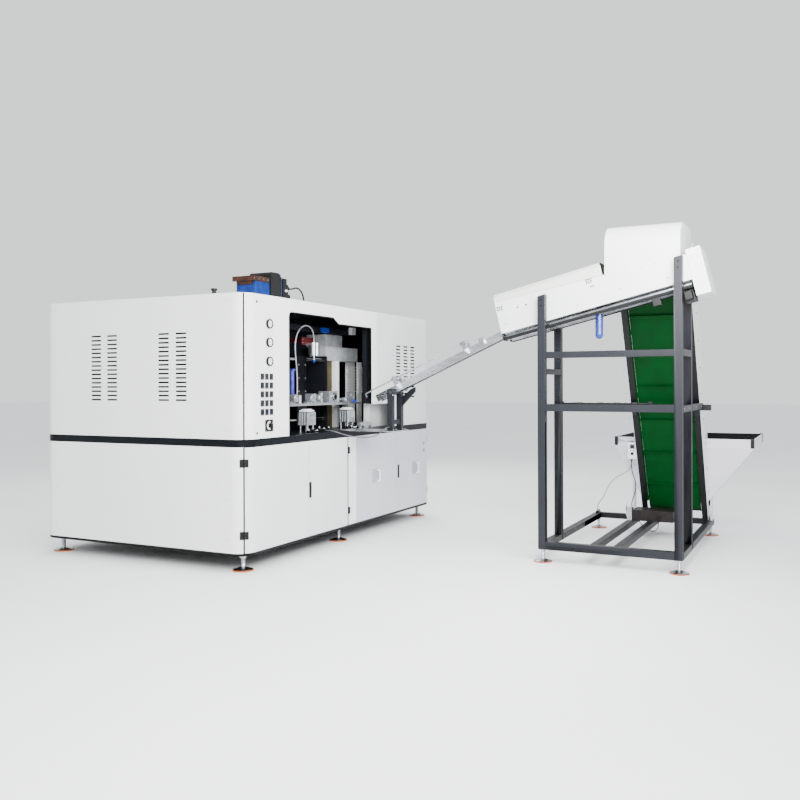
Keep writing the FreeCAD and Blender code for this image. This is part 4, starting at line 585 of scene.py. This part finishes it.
for x in (985, 1245, 1380):
    turned(bm, (x, 197, 1292), (0, -1, 0), ((0, 33), (3, 33), (5, 31), (5, 20), (1, 15)), 36, 0)
    turned(bm, (x, 210, 1292), (0, -1, 0), ((0, 13), (9, 13), (10, 12)), 24, 1)
shape("hub_collars", bm, [bright_bar, plastic_black], "machine_frame")
bm = bmesh.new()
turned(bm, (1630, 201, 1297), (0, -1, 0), ((0, 30), (2, 30), (3, 28.6)), 36, 0)
turned(bm, (1630, 198, 1297), (0, -1, 0), ((0, 20), (3, 20), (4, 18)), 24, 1)
shape("transfer_disc_rings", bm, [bright_bar, tool_steel], "transfer_disc")
bm = bmesh.new()
turned(bm, (1510, 352, 1636), (0, 0, -1), ((0, 12), (2, 17), (10, 17), (12, 13), (20, 8), (24, 5.5)), 24, 0)
shape("nozzle_tip", bm, [cap_blue], "blow_nozzle")
# thin air tubes and valves crowd the deck in front of the cylinders
bm = bmesh.new()
for i, x in enumerate((1040, 1108, 1215, 1290, 1370, 1700, 1774, 1905)):
    high = 1016 + 6 * (i % 3)
    prism(bm, (x - 15, 96, 998), (x + 15, 126, high), 1.5, i % 2)
    turned(bm, (x, 111, high), (0, 0, 1), ((0, 8), (8, 8), (9, 6), (16, 6), (17, 5)), 16, 2)
for x in (1140, 1180, 1830, 1870):
    turned(bm, (x, 128, 1012), (0, -1, 0), ((0, 9), (10, 9), (12, 7), (22, 7), (24, 5)), 16, 2)
    prism(bm, (x - 12, 118, 998), (x + 12, 140, 1026), 1.2, 0)
shape("deck_valves", bm, [plastic_black, hinge_black, chrome], "machine_frame")

# ---- Roof drive
# A blue painted motor under a copper brown terminal lid, its black gear block, a blue air
# cylinder and black cast valves, bolted to the roof.
motor_blue = finish("enamel_motor_blue", "#0d3c92", "#08296c", rough=0.34, patch=60, grain=8, lift=0.2, gleam=0.4)
lid_copper = finish("lacquered_copper_brown", "#4a281a", "#25150f", rough=0.36, metal=0.4, patch=60, grain=6,
                    lift=0.1)
cast_black = finish("cast_iron_black", "#050607", "#0a0b0c", rough=0.5, patch=40, grain=4, lift=0.5, gleam=0.3)
refine("roof_drive", [
    (cast_black, []), (motor_blue, [(899, 1109, 559, 761, 2099, 2312), (1277, 1360, 575, 665, 2195, 2412)]),
    (lid_copper, [(859, 1091, 544, 776, 2279, 2353)])], edge=3)
bm = bmesh.new()
for i in range(11):
    prism(bm, (899.6, 572 + 17 * i, 2112), (895, 577 + 17 * i, 2300), 0.8)
    prism(bm, (912 + 17 * i, 559.8, 2112), (917 + 17 * i, 555, 2300), 0.8)
shape("motor_fins", bm, [motor_blue], "machine_frame")
rows = [row((1128, 544.8, 2125), (0, 0, 240), 2, (0, -1, 0), 9, 5, hinge_black),
        row((1255, 544.8, 2125), (0, 0, 230), 2, (0, -1, 0), 9, 5, hinge_black),
        row((872, 544.8, 2331), (65, 0, 0), 4, (0, -1, 0), 5, 3),
        row((1318, 579.8, 2225), (0, 0, 160), 2, (0, -1, 0), 6, 4)]
grow(screws, rows, "roof_drive_bolts", [zinc, black_seal, hinge_black], "machine_frame")
bm = bmesh.new()
turned(bm, (1318, 620, 2232), (0, 0, 1), ((0, 41), (10, 43), (18, 43), (22, 40.5)), 32, 0)
turned(bm, (1318, 620, 2362), (0, 0, 1), ((0, 40.5), (4, 43), (14, 43), (20, 41)), 32, 0)
turned(bm, (1385, 559.5, 2170), (0, -1, 0), ((0, 16), (8, 16), (10, 13), (24, 13), (26, 10)), 20, 1)
turned(bm, (1405, 589.5, 2270), (0, -1, 0), ((0, 12), (6, 12), (8, 9), (18, 9), (20, 7)), 20, 2)
turned(bm, (1476, 620, 2300), (1, 0, 0), ((0, 14), (14, 14), (16, 11), (30, 9.5)), 20, 1)
turned(bm, (1750, 620, 2100), (0, 0, 1), ((0, 22), (4, 22), (5, 17), (18, 16), (20, 10)), 6, 1)
shape("roof_fittings", bm, [motor_blue, plastic_black, enamel_white], "machine_frame")

# ---- Levelling feet
# Turned steel stems with rolled thread and a hexagon nut, screwed into orange brown rubber
# pads with a steel cover plate.
stem_steel = finish("turned_steel_bright", "#c3c8cb", "#969ba0", rough=0.25, metal=1.0, patch=30, grain=4,
                    lift=0.05)
foot_rubber = finish("moulded_rubber_orange", "#b8560f", "#8f3d0c", rough=0.6, patch=60, grain=4, lift=0.3,
                     gleam=0.3)
pads = [(0, 4000, -100, 2200, -1, 10.3), (1300, 3330, -3000, -1750, -1, 9.3)]
refine("levelling_feet", [(stem_steel, []), (foot_rubber, pads)], edge=1.5)
threads, given = recipe("thread_rings", "Rings", (
    ("Start", "Vector"), ("Pitch", "Float"), ("Count", "Int"), ("Radius", "Float"),
    ("Steel", "Material")))
step = node(threads, "ShaderNodeCombineXYZ", {"Z": given["Pitch"]})
stack = node(threads, "GeometryNodeMeshLine",
             {"Count": given["Count"], "Start Location": given["Start"], "Offset": step.outputs[0]})
half = node(threads, "ShaderNodeMath", {0: given["Pitch"], 1: 0.5}, operation="MULTIPLY")
crest = node(threads, "ShaderNodeMath", {0: given["Radius"], 1: 1.07}, operation="MULTIPLY")
ring = node(threads, "GeometryNodeMeshCone",
            {"Vertices": 20, "Radius Bottom": crest.outputs[0], "Radius Top": given["Radius"],
             "Depth": half.outputs[0]})
laid = node(threads, "GeometryNodeInstanceOnPoints", {"Points": stack.outputs[0], "Instance": ring.outputs[0]})
solid = node(threads, "GeometryNodeRealizeInstances", {"Geometry": laid.outputs[0]})
steeled = node(threads, "GeometryNodeSetMaterial", {"Geometry": solid.outputs[0], "Material": given["Steel"]})
node(threads, "NodeGroupOutput", {0: steeled.outputs[0]})
rows = [{"Start": at(x, y, 34), "Pitch": 0.005, "Count": 13, "Radius": 0.0166, "Steel": stem_steel}
        for x in (120, 1530, 3180) for y in (110, deep - 110)]
rows += [{"Start": at(x, y, 32), "Pitch": 0.005, "Count": 10, "Radius": 0.0126, "Steel": stem_steel}
         for x in (1417, 3245) for y in (-1842, -2885)]
grow(threads, rows, "foot_threads", [stem_steel], "machine_frame")

# ---- Chute
# Two bright steel rails on clamps carry the preforms down to the in-feed. They stand on a
# shelf and two slate painted posts.
rail_steel = finish("drawn_steel_rail", "#c9cdd1", "#a3a8ad", rough=0.26, metal=1.0, patch=40, grain=5, lift=0.04,
                    stretch=(1, 0.15, 1))
slate = finish("powder_coat_slate", "#191b22", "#13151b", rough=0.42, patch=250, grain=9, lift=0.08, gleam=0.3)
refine("chute_rails", rail_steel, edge=0.8)
refine("chute_stand", [(slate, []), (satin, [(1439, 1736, -506, 71, 997.5, 1007)]),
                                      (plastic_black, [(1464, 1476, -456, -434, 1027, 1049)])], edge=2.5)
chute_slope = math.radians(24.3)
chute_run, chute_rise = math.cos(chute_slope), math.sin(chute_slope)
bm = bmesh.new()
for v in (-250, -960):
    for x in (1515, 1643):
        y = -300 + (v + 12) * chute_run + 132 * chute_rise
        z = 1257 - (v + 12) * chute_rise + 132 * chute_run
        turned(bm, (x, y, z - 4), (0, chute_rise, chute_run), ((0, 9), (4, 9), (6, 7), (12, 7), (13, 6)), 6, 0)
shape("chute_clamp_nuts", bm, [zinc], "machine_frame")
rows = [row((1475, -484, 1014), (50, 0, 0), 2, (0, 0, 1), 5, 4),
        row((1650, -484, 1014), (50, 0, 0), 2, (0, 0, 1), 5, 4),
        row((1460, -200, 1006), (0, 120, 0), 3, (0, 0, 1), 6, 3),
        row((1715, -200, 1006), (0, 120, 0), 3, (0, 0, 1), 6, 3),
        row((1488, -470.2, 1315), (24, 0, 0), 2, (0, -1, 0), 6, 4)]
grow(screws, rows, "chute_stand_screws", [zinc, black_seal, hinge_black], "machine_frame")

# ---- Feeder stand
# Square steel tube, welded and powder coated slate blue, on four levelling feet. Bolts run
# down the post heads, and a control lead is clipped along the front rail.
slate_dark = finish("powder_coat_slate_dark", "#0d0f13", "#08090c", rough=0.45, patch=250, grain=9, lift=0.08,
                    gleam=0.25)
refine("stand_frame",
       [(slate, []), (bay_white, [(3147, 3209, -2916, -2894, 149, 651), (3222, 3284, -2201, -2179, 149, 651)]),
        (slate_dark, [(1448, 3300, -2920, -1740, 98, 161)]),
                                      (plastic_black,
                                       [(3170, 3210, -1860, -1825, 149, 175),
                                        (1400, 1445, -2015, -1980, 1249, 1273),
                                                       (1400, 1445, -2695, -2660, 1249, 1273)])], edge=2, flat=0.01)
refine("rail_cable", pvc_black, edge=0)
trough_slope = 13.6
tilt_run, tilt_rise = math.cos(math.radians(trough_slope)), math.sin(math.radians(trough_slope))
# two bolts below each front post's head, at its own height
rows = [row((1386.8, y, top - 30), (0, 0, -46), 2, (-1, 0, 0), 7, 3, hinge_black)
        for y, top in ((-1840, 2104), (-2885, 2341))]
for x in (1480, 1740, 2100, 2400):
    rows += [row((x, y, 1218), (60, 0, 0), 1, (0, side, 0), 6, 3) for y, side in ((-1809.8, 1), (-2915.2, -1))]
grow(screws, rows, "stand_screws", [zinc, black_seal, hinge_black], "machine_frame")
bm = bmesh.new()
for y in (-2080, -2230, -2360, -2490, -2610):
    prism(bm, (1402, y - 6, 1249.5), (1452, y + 6, 1252), 0.6)
    turned(bm, (1425, y - 5, 1256.3), (0, 1, 0), ((0, 7.6), (10, 7.6)), 16, 0)
for y in (-2145, -2300, -2425, -2560):
    prism(bm, (1398, y - 22, 1250), (1436, y + 18, 1266), 3, 0, (8, "Z"))
shape("rail_cable_clips", bm, [plastic_black], "machine_frame")

# ---- Trough and rollers
# Folded white steel channel with punched vents near its low end, a pair of turned steel
# rollers under it, and a hinged lid whose front edge is bevelled.
feeder_white = finish("powder_coat_feeder_white", "#e4e5e4", "#dcdddd", rough=0.34, patch=600, grain=12, lift=0.04)
lid_white = finish("powder_coat_lid_white", "#d3d8d0", "#c9cec7", rough=0.34, patch=600, grain=12, lift=0.04)
roller_steel = finish("turned_roller_steel", "#a9adb2", "#787d84", rough=0.24, metal=1.0, patch=120, grain=6,
                      lift=0.05)
refine("trough_walls", [(feeder_white, []), (zinc, [(1699, 1712, -2300, -1500, 2100, 2500)])])
refine("trough_lid", [(lid_white, []), (black_seal, [(1450, 1700, -2325, -2272, 2225, 2390)])])
refine("trough_bearings", cast_black, edge=1.5)
refine("roller_near", roller_steel, edge=1)
refine("roller_far", roller_steel, edge=1)
refine("gear_cover", feeder_white, edge=2.5)
refine("roller_motor", [(cast_black, []), (plastic_black, [(1446, 1494, -2800, -2600, 1900, 2200)])],
       edge=3)
refine("hood", feeder_white, edge=1.5)


def on_trough(u, v, w):
    # a spot in the trough's own slope, in cabinet mm
    return (u, -1489 + v * tilt_run + w * tilt_rise, 1819 - v * tilt_rise + w * tilt_run)


def slope_row(u, v, w, count, step, facing=(-1, 0, 0), radius=5, height=2, head=zinc):
    return row(on_trough(u, v, w), (0, step * tilt_run, -step * tilt_rise), count, facing, radius, height, head)


rows = [slope_row(1446.8, -660, 53, 1, 1), slope_row(1446.8, -903, 80, 2, -104),
        slope_row(1446.8, -1366, 60, 1, 1, radius=7),
        slope_row(1446.8, -1208, 190, 2, -92), slope_row(1446.8, -40, 70, 2, -22, radius=4),
        slope_row(1446.8, -62, 100, 1, 1, radius=4),
        slope_row(1439.8, -1560, 150, 2, -50), slope_row(1439.8, -1560, -60, 2, -50)]
grow(screws, rows, "trough_screws", [zinc, black_seal], "machine_frame")
rows = [slope_row(1446.8, -60, 232, 4, -260, radius=4)]
grow(screws, rows, "lid_screws", [zinc, black_seal], "trough_lid")
# punched vents, three by three short slots, and two plugged holes, seen as dark marks; the slots are thin black
# patches on the wall, painted shade standing in for the open holes
bm = bmesh.new()
for v0, w0 in ((-14, 190), (-770, 196)):
    for i in range(3):
        for j in range(3):
            u, y, z = on_trough(1446.7, v0 - 18 * i, w0 + 13 * j)
            prism(bm, (u - 0.5, y - 6.5, z - 4), (u + 0.4, y + 6.5, z + 4), 0, 0, (-trough_slope, "X"))
u, y, z = on_trough(1446.7, -806, 160)
prism(bm, (u - 0.5, y - 20, z - 6), (u + 0.4, y + 20, z + 6), 0, 0, (-trough_slope, "X"))
for v, w in ((-183, 170), (-255, 171)):
    turned(bm, on_trough(1447.2, v, w), (-1, 0, 0), ((0, 8.5), (0.7, 8.5), (1, 7)), 20, 0)
shape("trough_vents", bm, [black_seal], "machine_frame")
# the wall is folded twice along its length, which leaves two soft ribs
bm = bmesh.new()
for w in (118, 168):
    low, high = on_trough(1447, -30, w), on_trough(1447, -1515, w - 22)
    mid_y, mid_z = (low[1] + high[1]) / 2, (low[2] + high[2]) / 2
    half_long = math.hypot(low[1] - high[1], low[2] - high[2]) / 2
    lean = math.degrees(math.atan2(high[2] - low[2], low[1] - high[1]))
    prism(bm, (1445.9, mid_y - half_long, mid_z - 2.2), (1447.2, mid_y + half_long, mid_z + 2.2), 0.5, 0,
          (-lean, "X"))
shape("trough_ribs", bm, [feeder_white], "machine_frame")

# ---- Elevator
# A leaning steel frame with white side sheets and slate flange channels. A green rubber belt
# with cross cleats runs over two steel drums, driven by a gear motor at its foot.
belt_green, tree, place, shader = blank("woven_rubber_belt_green")
weave = node(tree, "ShaderNodeTexWave", {"Vector": place, "Scale": 60.0, "Distortion": 1.5, "Detail": 2.0},
             bands_direction="Y")
stain = node(tree, "ShaderNodeTexNoise", {"Vector": place, "Scale": 5.0, "Detail": 5.0})
tone = node(tree, "ShaderNodeMix", {0: stain.outputs[0], 6: linear("#002c0c"), 7: linear("#00481a")},
            data_type="RGBA")
rub = node(tree, "ShaderNodeMapRange", {0: stain.outputs[0], 1: 0.3, 2: 0.7, 3: 0.38, 4: 0.55})
rise = node(tree, "ShaderNodeBump", {"Strength": 0.3, "Distance": 0.0004, "Height": weave.outputs[0]})
for socket, value in (("Base Color", tone.outputs[2]), ("Roughness", rub.outputs[0]), ("Normal", rise.outputs[0])):
    tree.links.new(value, shader.inputs[socket])
shader.inputs["Specular IOR Level"].default_value = 0.08
motor_brown = finish("enamel_motor_brown", "#231d1c", "#171314", rough=0.5, patch=50, grain=5, lift=0.3, gleam=0.3)
gear_grey = finish("cast_gearbox_grey", "#c4c6c8", "#9fa2a5", rough=0.45, metal=0.3, patch=40, grain=5, lift=0.4)
channel_slate = finish("powder_coat_channel_slate", "#090a0e", "#06070a", rough=0.45, patch=250, grain=9, lift=0.08,
                       gleam=0.3)
refine("belt", belt_green, edge=1)
refine("lift_sides", feeder_white)
refine("lift_channels", channel_slate)
refine("tail_drum", roller_steel)
refine("head_drum", roller_steel)
refine("lift_motor", [(motor_brown, []), (gear_grey, [(2849, 2961, -2243, -2185, 148, 263)]),
                                     (plastic_black, [(2825, 2851, -2501, -2469, 175, 207)])], edge=5)
lift_lean = 27.2
lean_run, lean_rise = math.cos(math.radians(lift_lean)), math.sin(math.radians(lift_lean))


def on_lift(u, y, w):
    # a spot in the elevator's leaning frame, in cabinet mm
    return (3172 + u * lean_run - w * lean_rise, y, 130 + u * lean_rise + w * lean_run)


# rubber skirts close the gaps between the belt and the channels
bm = bmesh.new()
for a, b in ((-2349, -2296), (-2869, -2816)):
    low, high = on_lift(33, a, 180), on_lift(33, b, 2440)
    mid = on_lift(35, (a + b) / 2, 1310)
    prism(bm, (mid[0] - 2, a, mid[2] - 1130), (mid[0] + 2, b, mid[2] + 1130), 0.8, 0, (-lift_lean, "Y"))
shape("belt_skirts", bm, [belt_green], "machine_frame")
out = (-lean_run, 0, -lean_rise)
along = (-lean_rise, 0, lean_run)
rows = []
for y in (-2264, -2901):
    rows.append(row(on_lift(-0.2, y, 90), tuple(250 * c for c in along), 10, out, 6, 3))
for w in (150, 2430):
    for y, side in ((-2276, 1), (-2889, -1)):
        for du, dw in ((-28, -28), (28, -28), (-28, 28), (28, 28)):
            rows.append(row(on_lift(139.7 + du, y, w + dw), (0, 0, 1), 1, (0, side, 0), 6, 4))
grow(screws, rows, "lift_screws", [zinc, black_seal], "machine_frame")
bm = bmesh.new()
for i in range(12):
    prism(bm, (2849, -2600 + 26 * i, 156), (2845, -2592 + 26 * i, 240), 1)
for y in (-2610, -2262):
    prism(bm, (2848, y - 4, 150.5), (3082, y + 10, 248.5), 3, 0)
shape("lift_motor_fins", bm, [motor_brown], "machine_frame")
bm = bmesh.new()
turned(bm, (2905, -2186, 254), (0, 1, 0), ((0, 29), (3, 29), (5, 26), (5, 12), (9, 11), (10, 9)), 32, 0)
for i in range(6):
    spin = math.radians(60 * i)
    turned(bm, (2905 + 22 * math.cos(spin), -2181.5, 254 + 22 * math.sin(spin)), (0, 1, 0),
           ((0, 3.5), (2.5, 3.5), (3, 2.8)), 8, 1)
shape("gearbox_cap", bm, [gear_grey, zinc], "machine_frame")

# ---- Hopper
# A folded sheet bin, white outside, with a dark band round the inside of its rim and black moulded
# corner caps on its upright rim. Preforms are tipped in here.
hopper_white = finish("powder_coat_hopper_white", "#dcdae2", "#d0ced9", rough=0.36, patch=400, grain=12, lift=0.05)
rim_band_dark = finish("hopper_rim_band_dark", "#08090b", "#050607", rough=0.6, patch=120, grain=6, lift=0.2, gleam=0.15)
caps = [(a, b, c, d, 831, 915) for a, b in ((2995, 3027), (4023, 4055)) for c,
        d in ((-2087, -2055), (-3285, -3253))]
rim_band_boxes = [(3003.6, 4046.4, -3276.4, -2063.6, 838, 907)]
# a dark band, about 70 mm deep, runs round the inside of the rim
refine("hopper", [(hopper_white, []), (rim_band_dark, rim_band_boxes), (plastic_black, caps)], edge=1)

# ---- Elevator control box
# A white enamelled steel box with a grey display, a lamp and a black knob, hung on the
# elevator's side sheet with two leads below.
refine("control_box", enamel_white, edge=3)
refine("control_knob", plastic_black, edge=1.5)
bm = bmesh.new()
prism(bm, (2858.4, -2272, 806), (2860.6, -2222, 852), 0.6, 0)
prism(bm, (2857.8, -2266, 812), (2858.8, -2228, 846), 0.3, 1)
turned(bm, (2860.2, -2232, 790), (-1, 0, 0), ((0, 5), (4, 5), (6, 3.5)), 16, 1)
turned(bm, (2860.2, -2262, 790), (-1, 0, 0), ((0, 5), (4, 5), (6, 3.5)), 16, 2)
prism(bm, (2856, -2290, 871), (2964, -2202, 876), 1.2, 3)
for x, y in ((2915, -2232), (2880, -2235)):
    turned(bm, (x, y, 715.5), (0, 0, -1), ((0, 9), (7, 9), (8, 7.5), (17, 6.4), (18, 5.2)), 6, 2)
shape("control_box_face", bm, [grey_plate_and_painted_shadow, window_grey, plastic_black, hinge_black], "machine_frame")
rows = [row((2859.8, -2279, z), (0, 66, 0), 2, (-1, 0, 0), 4, 2) for z in (728, 862)]
grow(screws, rows, "control_box_screws", [zinc, black_seal], "machine_frame")

# ---- Preform
# One blow moulding blank hanging by its neck ring between the rollers: injection moulded
# PET, clear and tinted blue, with a threaded neck above the ring.
pet_blue, tree, place, shader = blank("moulded_pet_blue")
depth = node(tree, "ShaderNodeTexNoise", {"Vector": place, "Scale": 12.0, "Detail": 1.0})
tint = node(tree, "ShaderNodeMix", {0: depth.outputs[0], 6: linear("#12288c"), 7: linear("#2c4db4")},
            data_type="RGBA")
tree.links.new(tint.outputs[2], shader.inputs["Base Color"])
for socket, value in (("Transmission Weight", 0.55), ("Roughness", 0.12), ("IOR", 1.57), ("Coat Weight", 0.3)):
    shader.inputs[socket].default_value = value
low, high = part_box("preform")
top = high.z * 1000
bm = bmesh.new()
outline = [(0, 27), (1, 28), (4, 28), (5, 29.4), (8, 29.4), (9, 28), (13, 28), (14, 29.4), (17, 29.4), (18, 27),
           (25.5, 27),
           (26, 38), (27, 39), (30, 39), (31, 38), (31.5, 31)]
outline += [(31.5 + 12 * i, 30.6 - 0.06 * i) for i in range(1, 17)]
outline += [(31.5 + 192 + 10 + 30 * math.sin(math.radians(a)), max(30 * math.cos(math.radians(a)), 0.5))
            for a in range(0, 91, 10)]
middle = (low + high) / 2
turned(bm, ((middle.x - corner.x) * 1000, (middle.y - corner.y) * 1000, top), (0, 0, -1), outline, 40)
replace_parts(shape("preform_blank", bm, [pet_blue], "machine_frame"), "preform")
